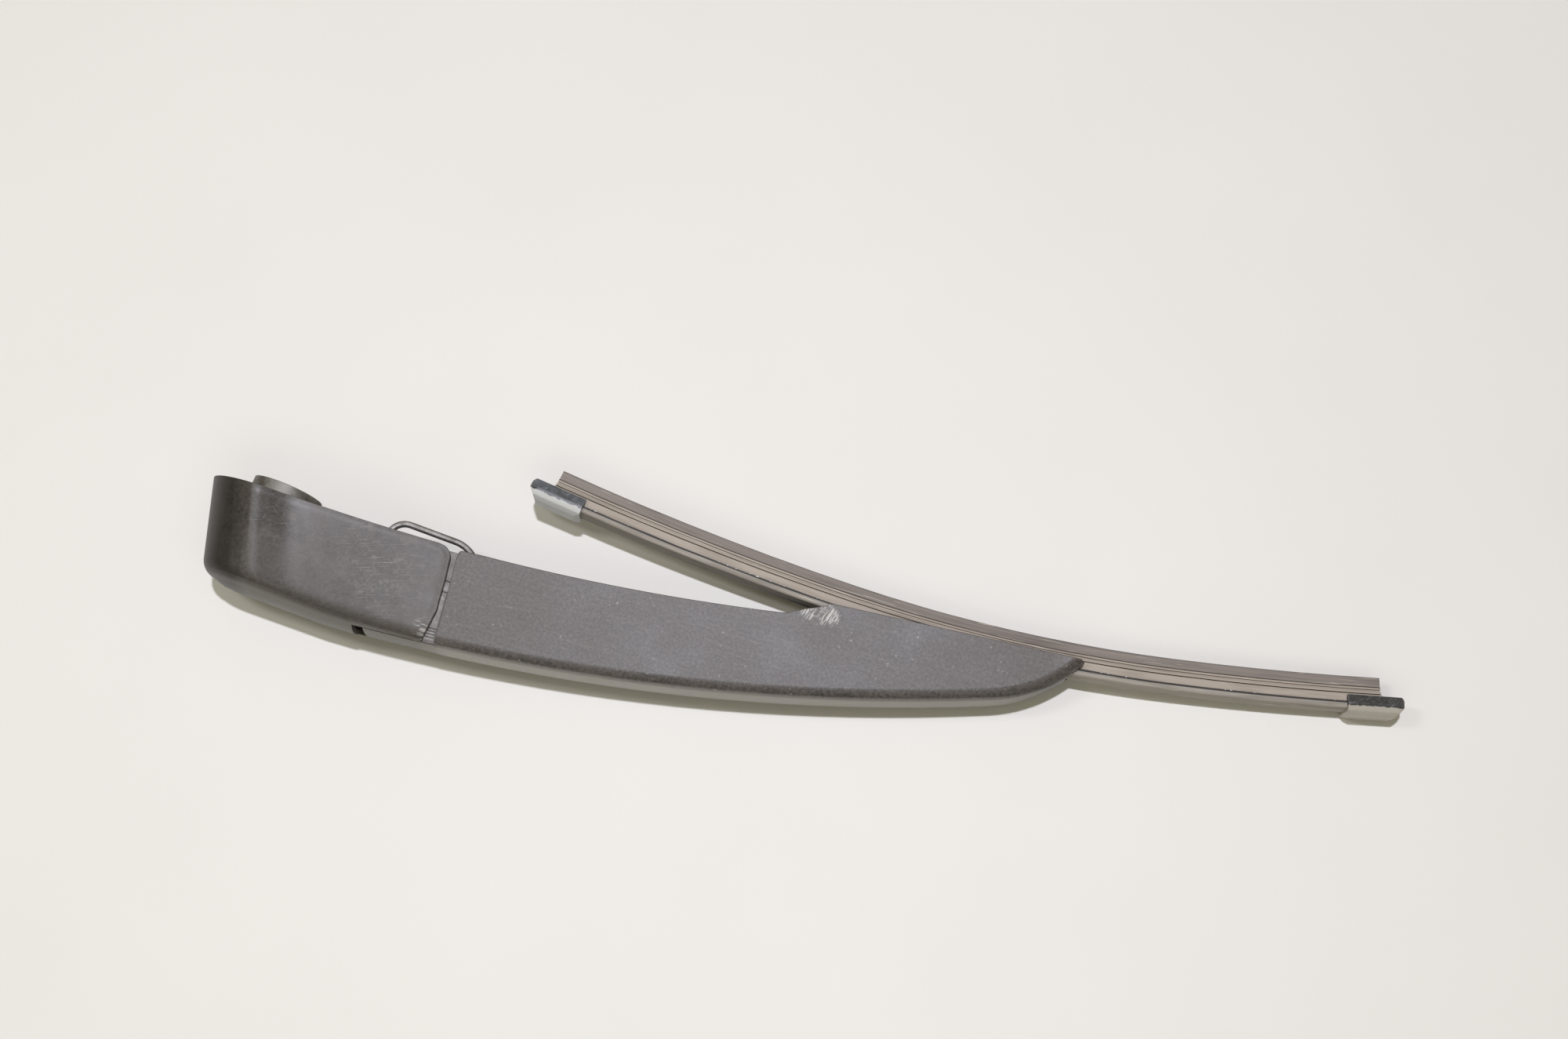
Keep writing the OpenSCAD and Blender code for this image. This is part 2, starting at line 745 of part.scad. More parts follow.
// Moulded adapter under the bracket that turns on the blade pin
module blade_adapter() {
    hub_r = blade_pin_d / 2 + 1.8;
    adapter_hw = carrier_in - side_gap;
    color("#35332f")
        at_pivot()
            difference() {
                union() {
                    linear_extrude(height = 2 * adapter_hw, center = true)
                        polygon([[-adapter_l / 2, -2.6 - pivot_n], [adapter_l / 2, -2.6 - pivot_n],
                                 [adapter_l / 2, -4.6 - pivot_n], [hub_r * 0.8, -hub_r * 0.3],
                                 [-hub_r * 0.8, -hub_r * 0.3], [-adapter_l / 2, -4.6 - pivot_n]]);
                    cylinder(r = hub_r, h = 2 * adapter_hw, center = true);
                }
                cylinder(r = blade_pin_d / 2 + running_gap, h = arm_w, center = true);
            }
}

// Moulded carrier in the arm's end: two cheeks and a floor
carrier_in = carrier_hw - 1.6;
carrier_floor = -8.2;
module blade_carrier() {
    color("#35332f")
        at_pivot()
            difference() {
                linear_extrude(height = 2 * carrier_hw, center = true)
                    polygon([[-15, carrier_floor], [12, carrier_floor], [15, carrier_floor + 2.4],
                             [15, 2], [12, 4], [-13, 4], [-15, 2]]);
                translate([-20, carrier_floor + 1.6, -carrier_in])
                    cube([40, 30, 2 * carrier_in]);
                cylinder(r = blade_pin_d / 2 + seat_gap, h = arm_w, center = true);
            }
}

module blade_pin() {
    color("#9a9c9e")
        at_pivot()
            cylinder(d = blade_pin_d, h = 2 * carrier_hw, center = true);
}

// End cap drawn at the length s, with its closed end in the direction d
module end_cap(s, d) {
    at_blade(s)
        scale([d, 1, 1])
            difference() {
                intersection() {
                    rotate([0, 90, 0])
                        linear_extrude(height = cap_l)
                            cap_section();
                    rotate([90, 0, 0])
                        linear_extrude(height = 20, center = true)
                            cap_plan();
                    linear_extrude(height = 20, center = true)
                        cap_side();
                }
                cap_pocket();
            }
}

// Section of the cap across the blade: flat flanks, a sharp shoulder and a rounded back
module cap_section() {
    polygon([[-6.3, 2.6], [6.3, 2.6], [cap_hw, -0.4], [cap_hw, -1.4], [6.6, -3.2], [4.4, -4.6],
             [-4.4, -4.6], [-6.6, -3.2], [-cap_hw, -1.4], [-cap_hw, -0.4]]);
}

module cap_plan() {
    r = 3.4;
    translate([0, -cap_hw])
        square([cap_l - r, 2 * cap_hw]);
    translate([0, r - cap_hw])
        square([cap_l, 2 * (cap_hw - r)]);
    for (s = [-1, 1])
        translate([cap_l - r, s * (cap_hw - r)])
            circle(r = r);
}

module cap_side() {
    polygon([[0, -3.6], [0, 2.6], [cap_l - 1.6, 2.6], [cap_l, 1], [cap_l, -0.6],
             [cap_l - 3.5, -4.6], [2, -4.6]]);
}

// Room in the cap for the rubber and both rails, open above so that the lip stands free
module cap_pocket() {
    depth = cap_l - cap_over + 0.3;
    translate([-cut, -1.3, -3.2])
        cube([depth + cut, 1.6, 6.4]);
    translate([-cut, -rail_n - 0.15, -rail_out - 0.15])
        cube([depth + cut, rail_t + 0.3, 2 * rail_out + 0.3]);
    translate([-cut, 0, -4.15])
        cube([depth + cut, 8, 8.3]);
}

module end_cap_inner() {
    color("#3a3d42")
        end_cap(-blade_inner + cap_l - cap_over, -1);
}

module end_cap_outer() {
    color("#3a3d42")
        end_cap(blade_outer - cap_l + cap_over, 1);
}

mounting_head();
spindle_bush();
hinge_pin();
anchor_pin();
head_cover();
arm_shell();
ear_bush_upper();
ear_bush_lower();
spring_pin();
blade_carrier();
blade_pin();
spring_hook();
tension_spring();
wiper_rubber();
rail_upper();
rail_lower();
spoiler_inner();
spoiler_outer();
blade_bracket();
blade_adapter();
end_cap_inner();
end_cap_outer();
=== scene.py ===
import math

import bpy
from mathutils import Matrix, Vector


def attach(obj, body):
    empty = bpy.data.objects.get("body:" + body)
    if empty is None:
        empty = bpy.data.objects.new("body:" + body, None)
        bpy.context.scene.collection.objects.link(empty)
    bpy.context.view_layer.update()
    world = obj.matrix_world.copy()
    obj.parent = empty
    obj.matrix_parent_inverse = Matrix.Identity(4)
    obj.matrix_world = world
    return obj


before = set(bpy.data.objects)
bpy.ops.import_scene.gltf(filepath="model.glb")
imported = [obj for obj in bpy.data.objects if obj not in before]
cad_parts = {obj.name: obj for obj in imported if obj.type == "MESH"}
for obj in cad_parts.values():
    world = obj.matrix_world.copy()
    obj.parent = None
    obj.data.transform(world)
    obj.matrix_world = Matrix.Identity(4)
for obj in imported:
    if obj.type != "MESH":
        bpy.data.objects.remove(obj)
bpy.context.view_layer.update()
MM = 0.001

# The wiper lies on its side on a table: turned on it, tipped a little, its spindle axis above it
TABLE_TURN = 21.5
TABLE_TIP = 2.0
SPINDLE_ON_TABLE = Vector((-180.6, 5.4, 21.5)) * MM

# The camera, in mm in the table's frame, and its tilt towards the wiper in degrees
LENS_MM = 53.39
SENSOR_MM = 36
CAMERA_AT = (0, -209.9, 841.7)
CAMERA_TILT = 14

# Sizes of the wiper that the looks follow, in mm, as in the CAD
EAR_FACE = 9.0
BORE_R = 6.0
BORE_DEPTH = 14.0
BLADE_MID = Vector((265.57, 40.03))
BLADE_PITCH = 8.7
BOW_R = 591.4
BOW_HALF = 60.0
END_R = 1137.0
CAP_AT = {"end_cap_inner": -163.5, "end_cap_outer": 123.0}

# Pad on each ear, in the slit between the cover and the arm's shoulder. Its ridges, its one square
# bump and the dirty grooves beside them lie along it, measured from its middle.
PAD_MID = Vector((68.15, -16.6))
PAD_SIZE = Vector((4.4, 33.2, 0.16))
PAD_LEAN = 7.1
PAD_SUNK = 0.06
PAD_ROUND = 0.07
RIDGE_H = 0.2
RIDGES = [(-16.3, -15.7), (-15.2, -14.6), (-14.1, -13.5), (-12.9, -12.5), (2.1, 5.1)]
GROOVES = [-15.45, -14.35, -13.2, -12.2, 1.6, 5.7]
GROOVE_HALF = 0.24

# Serrations in the spindle bush that bite on the spindle's cone: how many and how high, how much shorter
# than the bore, how deep in its wall, and how thick their own wall is
TEETH = 60
TOOTH_H = 0.28
TEETH_CLEAR = 1.6
TEETH_SUNK = 0.06
TEETH_WALL = 0.12

# Worn spots, in mm on the wiper: where, how far each one reaches and how strong it is
# The third flank spot sits on the round end's highlight band and is partly a painted highlight
FLANK_SCUFFS_AND_BAND_HIGHLIGHT = [((47, -17, 16), 21, 0.95), ((37, -9, 18), 13, 0.9), ((4, -15, 20), 12, 0.5)]
CHIPPED_CORNER = [((67.4, -29.5, 11), 4.5, 1.0), ((67.5, -33, 10), 3.5, 1.0)]
RUBBED_ROUND_END = [((2, -18, 21), 26, 0.1)]
TORN_HUMP = [((192.8, 26.6, 10), 3.6, 1.0), ((199.8, 28.4, 10), 5.4, 1.0)]
RUBBED_TIP = [((291, 47, 0), 16, 0.25)]

# Slopes of the cover's flank that are too slight for its facets. Swell and waist cross the cover on a
# slant: where each starts, is full, begins to end and has ended, in mm, and its slope. The draft, which
# the arm has too, comes in along the cover between two places.
SLANT = Vector((0.93, 0.37, 0.0))
SWELL = (-16, -13, -11, -8, 0.22)
WAIST = (-10, -5.5, -1, 9, 0.22)
DRAFT_SLOPE = -0.07
DRAFT_FROM = (12, 40)

# Along the same slant, where painted shade on the round end begins and where it is full
ROUND_END_SHADE = (-12, -16.5)

# Where the arm's back comes out from under the cover into the sun, and its painted reflection grows
OUT_OF_SHADE = (66, 78)

# Dark lines down the rubber, painted shade and dirt in its grooves and gaps, by depth from the rails in mm,
# with the lip below 0: where, half as wide as, and how dark. They are the lip's root, the gap between the
# ribs and the spoiler's seat.
SHADE_AND_DIRT_LINES = [(-6.5, 0.22, 0.8), (-3.65, 0.3, 0.75), (0.0, 0.45, 0.95)]

# Depths between which the rubber turns into the lip, and between which the lip's edge darkens
LIP_ROOT = (-5.9, -6.7)
LIP_EDGE = (-9.5, -10.2)

# The parting line of the end caps, by depth: its middle, half its width and how far it wanders. Behind
# it, between two depths, starts the bleached back.
SEAM_AT = -0.35
SEAM_HALF = 0.28
SEAM_WANDER = 1.4
CAP_BACK = (-0.5, -0.9)

# How far above its level the noise of a scratch or a chip is full
SOFT_CUT = 0.06

# Corners of a mesh that are nearer than this, in mm, are one
SAME_POINT = 0.001

# Sockets of a Mix node by number, because those for numbers, vectors and colours share their names.
# Its socket 0 takes the share of B.
MIX_A, MIX_B, MIXED = 6, 7, 2
VECTOR_A, VECTOR_B, VECTOR_MIXED = 4, 5, 1
NUMBER_A, NUMBER_B, NUMBER_MIXED = 2, 3, 0


def table_frame():
    """Carries a place on the table, x right and y up in the picture, into the wiper's own frame."""
    turn, tip = math.radians(TABLE_TURN), math.radians(TABLE_TIP)
    along = Vector((math.cos(turn), -math.sin(turn), 0))
    up = Vector((0, 0, 1))
    x = math.cos(tip) * along - math.sin(tip) * up
    y = Vector((math.sin(turn), math.cos(turn), 0))
    z = math.sin(tip) * along + math.cos(tip) * up
    return Matrix((x, y, z)).to_4x4() @ Matrix.Translation(-SPINDLE_ON_TABLE)


TABLE = table_frame()


def linear(colour):
    """An sRGB hex colour as the linear one that a shader takes."""
    parts = [int(colour[i:i + 2], 16) / 255 for i in (1, 3, 5)]
    return tuple(p / 12.92 if p <= 0.04045 else ((p + 0.055) / 1.055) ** 2.4 for p in parts) + (1.0,)


def per_metre(size_mm):
    """Texture scale whose pattern repeats about every size_mm."""
    return 1000 / size_mm


def add(tree, kind, inputs=None, **settings):
    """One shader node with its settings, its values and the links into it."""
    made = tree.nodes.new("ShaderNode" + kind)
    for key, value in settings.items():
        setattr(made, key, value)
    for key, value in (inputs or {}).items():
        if isinstance(value, bpy.types.NodeSocket):
            tree.links.new(value, made.inputs[key])
        else:
            made.inputs[key].default_value = value
    return made


# Camera, lights and table, placed in the table's frame
def soft_light(name, size_mm, power, place_mm, target_mm, colour):
    """A rectangular lamp that faces its target."""
    lamp = bpy.data.lights.new(name, "AREA")
    lamp.shape = "RECTANGLE"
    lamp.size, lamp.size_y = size_mm[0] * MM, size_mm[1] * MM
    lamp.energy = power
    lamp.color = linear(colour)[:3]
    thing = bpy.data.objects.new(name, lamp)
    place, target = Vector(place_mm) * MM, Vector(target_mm) * MM
    turn = (target - place).to_track_quat("-Z", "Y").to_matrix().to_4x4()
    thing.matrix_world = TABLE @ Matrix.Translation(place) @ turn
    bpy.context.collection.objects.link(thing)


optics = bpy.data.cameras.new("photo_camera")
optics.lens = LENS_MM
optics.sensor_width = SENSOR_MM
optics.clip_start = 0.01
optics.clip_end = 20
camera = bpy.data.objects.new("photo_camera", optics)
camera.matrix_world = (TABLE @ Matrix.Translation(Vector(CAMERA_AT) * MM)
                       @ Matrix.Rotation(math.radians(CAMERA_TILT), 4, "X"))
bpy.context.collection.objects.link(camera)
bpy.context.scene.camera = camera

# A small lamp high over the table that draws the shadow, a narrow one to the left that the round end
# mirrors, and a broad weak one in front that lights the backs
soft_light("key_light", size_mm=(80, 60), power=31, place_mm=(20, 188, 2080), target_mm=(0, 0, 0),
           colour="#f3f3ff")
soft_light("left_light", size_mm=(140, 300), power=2.3, place_mm=(-540, 90, 1050),
           target_mm=(-170, 0, 20), colour="#f6f4f0")
soft_light("front_light", size_mm=(1000, 400), power=1.6, place_mm=(40, -640, 900),
           target_mm=(0, -80, 0), colour="#fffdf6")

# Warm light from all sides gives the shadow its olive tone
world = bpy.data.worlds.new("studio")
bpy.context.scene.world = world
world.use_nodes = True
world.node_tree.nodes["Background"].inputs["Color"].default_value = linear("#fff7cd")
world.node_tree.nodes["Background"].inputs["Strength"].default_value = 0.21
bpy.context.scene.view_settings.view_transform = "Standard"


def table_paint():
    """Painted board: rolled on and hard, so it is pale and evenly dull with a faint mottle."""
    paint = bpy.data.materials.new("painted_table_board")
    paint.use_nodes = True
    tree = paint.node_tree
    shader = tree.nodes["Principled BSDF"]
    place = add(tree, "TexCoord").outputs["Object"]
    mottle = add(tree, "TexNoise", {"Vector": place, "Scale": per_metre(90), "Detail": 3.0})
    tint = add(tree, "Mix", {0: mottle.outputs[0], MIX_A: linear("#dfddd8"), MIX_B: linear("#e4e2dd")},
               data_type="RGBA")
    tree.links.new(tint.outputs[MIXED], shader.inputs["Base Color"])
    shader.inputs["Roughness"].default_value = 0.55
    return paint


bpy.ops.mesh.primitive_plane_add(size=4)
floor = bpy.context.object
floor.name = "table_top"
floor.matrix_world = TABLE
floor.data.materials.append(table_paint())


# What the materials share
def surface(name, colour, rough, metal=0.0):
    """A new material: its tree, its shader with plain values, and Object coordinates."""
    made = bpy.data.materials.new(name)
    made.use_nodes = True
    tree = made.node_tree
    shader = tree.nodes["Principled BSDF"]
    shader.inputs["Base Color"].default_value = linear(colour)
    shader.inputs["Roughness"].default_value = rough
    shader.inputs["Metallic"].default_value = metal
    return made, tree, shader, add(tree, "TexCoord").outputs["Object"]


def largest(tree, shares):
    """The largest of several shares."""
    most = shares[0]
    for share in shares[1:]:
        most = add(tree, "Math", {0: most, 1: share}, operation="MAXIMUM").outputs[0]
    return most


def near(tree, place, spots):
    """How near a point is to some spots: a spot's strength at its middle, and 0 from its reach on."""
    shares = []
    for centre_mm, reach_mm, strength in spots:
        gap = add(tree, "VectorMath", {0: place, 1: Vector(centre_mm) * MM}, operation="DISTANCE")
        share = add(tree, "MapRange", {"Value": gap.outputs["Value"], "From Min": reach_mm * MM,
                                       "From Max": 0.0, "To Max": strength})
        shares.append(share.outputs[0])
    return largest(tree, shares)


def scratches(tree, place, runs, strength=1.0):
    """Scratches in some runs, each given by its turn in degrees, its length and width in mm and its
    level: noise drawn long one way and thin the other, cut at that level."""
    shares = []
    for turn_deg, long_mm, wide_mm, level in runs:
        turned = add(tree, "Mapping", {"Vector": place, "Rotation": (0, 0, math.radians(turn_deg)),
                                       "Scale": (long_mm * MM, wide_mm * MM, long_mm * MM)},
                     vector_type="TEXTURE")
        drawn = add(tree, "TexNoise", {"Vector": turned.outputs[0], "Scale": 1.0, "Detail": 2.0})
        cut = add(tree, "MapRange", {"Value": drawn.outputs[0], "From Min": level,
                                     "From Max": level + SOFT_CUT, "To Max": strength})
        shares.append(cut.outputs[0])
    return largest(tree, shares)


def between(tree, value, start, full, ending, end, strength):
    """A strength that holds between two places along a value, in mm, with a soft rise and fall."""
    rise = add(tree, "MapRange", {"Value": value, "From Min": start * MM, "From Max": full * MM,
                                  "To Max": strength}, interpolation_type="SMOOTHSTEP")
    fall = add(tree, "MapRange", {"Value": value, "From Min": end * MM, "From Max": ending * MM},
               interpolation_type="SMOOTHSTEP")
    return add(tree, "Math", {0: rise.outputs[0], 1: fall.outputs[0]}, operation="MULTIPLY").outputs[0]


def rubbed_edges(tree, radius_mm, sharp, strength=1.0):
    """The normal rounded over an edge, and how near the edge is: 0 on a face, the strength on it."""
    rounded = add(tree, "Bevel", {"Radius": radius_mm * MM}, samples=6)
    true_normal = add(tree, "NewGeometry").outputs["Normal"]
    alike = add(tree, "VectorMath", {0: rounded.outputs[0], 1: true_normal}, operation="DOT_PRODUCT")
    edge = add(tree, "MapRange", {"Value": alike.outputs["Value"], "From Min": 0.99, "From Max": sharp,
                                  "To Max": strength})
    return rounded.outputs[0], edge.outputs[0]


def faired(tree, fine, radius_mm):
    """The normal averaged over the CAD's facets, except near a real edge, where the fine one stays."""
    wide = add(tree, "Bevel", {"Radius": radius_mm * MM}, samples=8).outputs[0]
    true_normal = add(tree, "NewGeometry").outputs["Normal"]
    alike = add(tree, "VectorMath", {0: wide, 1: true_normal}, operation="DOT_PRODUCT")
    smooth = add(tree, "MapRange", {"Value": alike.outputs["Value"], "From Min": 0.95, "From Max": 0.98})
    eased = add(tree, "Mix", {0: smooth.outputs[0], VECTOR_A: fine, VECTOR_B: wide}, data_type="VECTOR")
    return eased.outputs[VECTOR_MIXED]


def leaned(tree, normal, ahead, back):
    """A side wall's normal leaned ahead along the wiper and back, by slopes too slight for its facets."""
    parts = add(tree, "SeparateXYZ", {0: normal})
    upright = add(tree, "Math", {0: parts.outputs[2]}, operation="ABSOLUTE")
    side = add(tree, "MapRange", {"Value": upright.outputs[0], "From Min": 0.8, "From Max": 0.97})
    slopes = add(tree, "CombineXYZ", {0: ahead, 1: back})
    lean = add(tree, "VectorMath", {0: slopes.outputs[0], "Scale": side.outputs[0]}, operation="SCALE")
    turned = add(tree, "VectorMath", {0: normal, 1: lean.outputs[0]}, operation="ADD")
    return add(tree, "VectorMath", {0: turned.outputs[0]}, operation="NORMALIZE").outputs[0]


def back_bleach_and_sheen(tree, strength=1.0):
    """The strength where a wall faces the sky in use, away from the glass: the sun bleaches it, and the
    pale tone there is also a painted reflection of the lit table.
    """
    normal = add(tree, "SeparateXYZ", {0: add(tree, "NewGeometry").outputs["Normal"]})
    share = add(tree, "MapRange", {"Value": normal.outputs[1], "From Min": -0.6, "From Max": -0.97,
                                   "To Max": strength})
    return share.outputs[0]


# Mouldings of the head and the arm
def cover_plastic():
    """Glass-filled polyamide, moulded in a spark-eroded tool and years in the sun: dull black gone
    grey-brown in soft patches, rubbed smooth on the round end and darkened there by painted shade, with
    pale scuff marks on the flank, one of them partly a painted highlight on the round end's band."""
    made, tree, shader, place = surface("moulded_polyamide_cover", "#383532", rough=0.42)
    # spark-eroded grain is near 0.1 mm, drawn at 0.6 mm so that it shows
    grain = add(tree, "TexNoise", {"Vector": place, "Scale": per_metre(0.6), "Detail": 3.0,
                                   "Roughness": 0.6})
    # the sun fades it in soft patches, and its glass fibres show as a pale meal
    patches = add(tree, "TexNoise", {"Vector": place, "Scale": per_metre(22), "Detail": 5.0,
                                     "Roughness": 0.62})
    faded = add(tree, "MapRange", {"Value": patches.outputs[0], "From Min": 0.38, "From Max": 0.68})
    aged = add(tree, "Mix", {0: faded.outputs[0], MIX_A: linear("#2f2b28"), MIX_B: linear("#47423e")},
               data_type="RGBA")
    fibres = add(tree, "TexNoise", {"Vector": place, "Scale": per_metre(1.3), "Detail": 5.0,
                                    "Roughness": 0.75})
    meal = add(tree, "MapRange", {"Value": fibres.outputs[0], "From Min": 0.4, "From Max": 0.66,
                                  "To Max": 0.34})
    mealed = add(tree, "Mix", {0: meal.outputs[0], MIX_A: aged.outputs[MIXED], MIX_B: linear("#6b645e")},
                 data_type="RGBA")
    # the back is sun-bleached, and paler still by a painted reflection of the lit table
    bleached = add(tree, "Mix", {0: back_bleach_and_sheen(tree, strength=0.6), MIX_A: mealed.outputs[MIXED],
                                 MIX_B: linear("#77736e")}, data_type="RGBA")
    # painted shade darkens the round end, where it turns away from the lamps
    slant = add(tree, "VectorMath", {0: place, 1: SLANT}, operation="DOT_PRODUCT").outputs["Value"]
    round_end_shade = add(tree, "MapRange", {"Value": slant, "From Min": ROUND_END_SHADE[0] * MM,
                                     "From Max": ROUND_END_SHADE[1] * MM, "To Max": 0.6})
    body = add(tree, "Mix", {0: round_end_shade.outputs[0], MIX_A: bleached.outputs[MIXED],
                             MIX_B: linear("#141211")}, data_type="RGBA")
    # each scuff is crossed strokes on a soft smear, and the spot on the round end's band is partly a
    # painted highlight
    strokes = scratches(tree, place, [(24, 9, 0.3, 0.62), (-38, 7, 0.3, 0.66), (71, 6, 0.3, 0.67)])
    rubs = add(tree, "TexNoise", {"Vector": place, "Scale": per_metre(4.5), "Detail": 6.0,
                                  "Roughness": 0.7})
    smear = add(tree, "MapRange", {"Value": rubs.outputs[0], "From Min": 0.52, "From Max": 0.72,
                                   "To Max": 0.85})
    scuffed_and_highlit = add(tree, "Math", {0: near(tree, place, FLANK_SCUFFS_AND_BAND_HIGHLIGHT),
                                 1: largest(tree, [strokes, smear.outputs[0]])}, operation="MULTIPLY")
    scuffs_and_highlight = add(tree, "Math", {0: scuffed_and_highlit.outputs[0], 1: 0.75}, operation="MULTIPLY")
    chipped = add(tree, "Math", {0: near(tree, place, CHIPPED_CORNER),
                                 1: scratches(tree, place, [(10, 3, 0.5, 0.52)])}, operation="MULTIPLY")
    rounded, edge = rubbed_edges(tree, radius_mm=0.5, sharp=0.8)
    chips = add(tree, "TexNoise", {"Vector": place, "Scale": per_metre(1.6), "Detail": 4.0})
    chip = add(tree, "MapRange", {"Value": chips.outputs[0], "From Min": 0.5, "From Max": 0.66,
                                  "To Max": 0.22})
    worn = add(tree, "Math", {0: edge, 1: chip.outputs[0]}, operation="MULTIPLY")
    pale = largest(tree, [scuffs_and_highlight.outputs[0], worn.outputs[0], chipped.outputs[0]])
    tone = add(tree, "Mix", {0: pale, MIX_A: body.outputs[MIXED], MIX_B: linear("#a7a29d")},
               data_type="RGBA")
    tree.links.new(tone.outputs[MIXED], shader.inputs["Base Color"])
    dull = add(tree, "MapRange", {"Value": patches.outputs[0], "From Min": 0.3, "From Max": 0.7,
                                  "To Min": 0.4, "To Max": 0.47})
    smooth = add(tree, "Math", {0: dull.outputs[0], 1: near(tree, place, RUBBED_ROUND_END)},
                 operation="SUBTRACT")
    rough = add(tree, "Math", {0: scuffed_and_highlit.outputs[0], 1: 0.12, 2: smooth.outputs[0]},
                operation="MULTIPLY_ADD")
    tree.links.new(rough.outputs[0], shader.inputs["Roughness"])
    # behind the round end's swell the flank turns in a little, and nearer the hinge it has the draft
    ahead = add(tree, "Math", {0: between(tree, slant, *WAIST), 1: between(tree, slant, *SWELL)},
                operation="SUBTRACT")
    x = add(tree, "SeparateXYZ", {0: place}).outputs[0]
    draft = add(tree, "MapRange", {"Value": x, "From Min": DRAFT_FROM[0] * MM,
                                   "From Max": DRAFT_FROM[1] * MM, "To Max": DRAFT_SLOPE})
    shaped = leaned(tree, faired(tree, rounded, radius_mm=4), ahead.outputs[0], draft.outputs[0])
    relief = add(tree, "Bump", {"Height": grain.outputs[0], "Distance": 0.05 * MM, "Strength": 0.4,
                                "Normal": shaped})
    tree.links.new(relief.outputs[0], shader.inputs["Normal"])
    return made


def arm_plastic():
    """Glass-filled polyamide, moulded with a coarser grain: dusty grey-black, dull, with pale specks,
    long faint scratches, torn scratches on the hump and a tip rubbed glossy."""
    made, tree, shader, place = surface("moulded_polyamide_arm", "#3e3c39", rough=0.46)
    # etched grain is near 0.15 mm, drawn at 1.1 mm so that it shows
    grain = add(tree, "TexNoise", {"Vector": place, "Scale": per_metre(1.1), "Detail": 5.0,
                                   "Roughness": 0.75})
    cloud = add(tree, "TexNoise", {"Vector": place, "Scale": per_metre(30), "Detail": 6.0,
                                   "Roughness": 0.6})
    faded = add(tree, "MapRange", {"Value": cloud.outputs[0], "From Min": 0.36, "From Max": 0.66})
    aged = add(tree, "Mix", {0: faded.outputs[0], MIX_A: linear("#2e2a28"), MIX_B: linear("#453f3b")},
               data_type="RGBA")
    meal = add(tree, "MapRange", {"Value": grain.outputs[0], "From Min": 0.4, "From Max": 0.64,
                                  "To Max": 0.5})
    mealed = add(tree, "Mix", {0: meal.outputs[0], MIX_A: aged.outputs[MIXED], MIX_B: linear("#716a65")},
                 data_type="RGBA")
    # the part of the back that the cover hides sees little sun and gets less painted reflection
    x = add(tree, "SeparateXYZ", {0: place}).outputs[0]
    open_air = add(tree, "MapRange", {"Value": x, "From Min": OUT_OF_SHADE[0] * MM,
                                      "From Max": OUT_OF_SHADE[1] * MM, "To Min": 0.3, "To Max": 0.9})
    sunned_and_sheened = add(tree, "Math", {0: back_bleach_and_sheen(tree), 1: open_air.outputs[0]}, operation="MULTIPLY")
    body = add(tree, "Mix", {0: sunned_and_sheened.outputs[0], MIX_A: mealed.outputs[MIXED],
                             MIX_B: linear("#a8a49f")}, data_type="RGBA")
    # dust lies in the grain as specks about half a millimetre wide
    dust = add(tree, "TexVoronoi", {"Vector": place, "Scale": per_metre(2.4)})
    speck = add(tree, "MapRange", {"Value": dust.outputs["Distance"], "From Min": 0.2, "From Max": 0.08})
    sparse = add(tree, "TexNoise", {"Vector": place, "Scale": per_metre(7), "Detail": 2.0})
    few = add(tree, "MapRange", {"Value": sparse.outputs[0], "From Min": 0.52, "From Max": 0.66,
                                 "To Max": 0.45})
    dusty = add(tree, "Math", {0: speck.outputs[0], 1: few.outputs[0]}, operation="MULTIPLY")
    lines = scratches(tree, place, [(5, 26, 0.35, 0.6), (13, 34, 0.35, 0.63)], strength=0.05)
    # the torn patches end in a ragged rim
    hump = near(tree, place, TORN_HUMP)
    flakes = add(tree, "TexNoise", {"Vector": place, "Scale": per_metre(1.9), "Detail": 5.0,
                                    "Roughness": 0.7})
    frayed = add(tree, "Math", {0: flakes.outputs[0], 1: 1.5, 2: hump}, operation="MULTIPLY_ADD")
    patch = add(tree, "MapRange", {"Value": frayed.outputs[0], "From Min": 0.95, "From Max": 1.15})
    inside = add(tree, "MapRange", {"Value": hump, "From Max": 0.1})
    ragged = add(tree, "Math", {0: patch.outputs[0], 1: inside.outputs[0]}, operation="MULTIPLY")
    torn = scratches(tree, place, [(82, 4, 0.4, 0.52), (72, 2.6, 0.35, 0.54)], strength=0.95)
    chipped = add(tree, "Math", {0: torn, 1: ragged.outputs[0]}, operation="MULTIPLY")
    rounded, edge = rubbed_edges(tree, radius_mm=0.5, sharp=0.8)
    chip = add(tree, "MapRange", {"Value": flakes.outputs[0], "From Min": 0.48, "From Max": 0.66,
                                  "To Max": 0.28})
    worn = add(tree, "Math", {0: edge, 1: chip.outputs[0]}, operation="MULTIPLY")
    pale = largest(tree, [dusty.outputs[0], lines, chipped.outputs[0], worn.outputs[0]])
    tone = add(tree, "Mix", {0: pale, MIX_A: body.outputs[MIXED], MIX_B: linear("#b5b1ab")},
               data_type="RGBA")
    tree.links.new(tone.outputs[MIXED], shader.inputs["Base Color"])
    dull = add(tree, "MapRange", {"Value": cloud.outputs[0], "From Min": 0.3, "From Max": 0.7,
                                  "To Min": 0.42, "To Max": 0.5})
    rough = add(tree, "Math", {0: dull.outputs[0], 1: near(tree, place, RUBBED_TIP)},
                operation="SUBTRACT")
    tree.links.new(rough.outputs[0], shader.inputs["Roughness"])
    relief = add(tree, "Bump", {"Height": grain.outputs[0], "Distance": 0.07 * MM, "Strength": 0.5,
                                "Normal": leaned(tree, rounded, 0.0, DRAFT_SLOPE)})
    tree.links.new(relief.outputs[0], shader.inputs["Normal"])
    return made


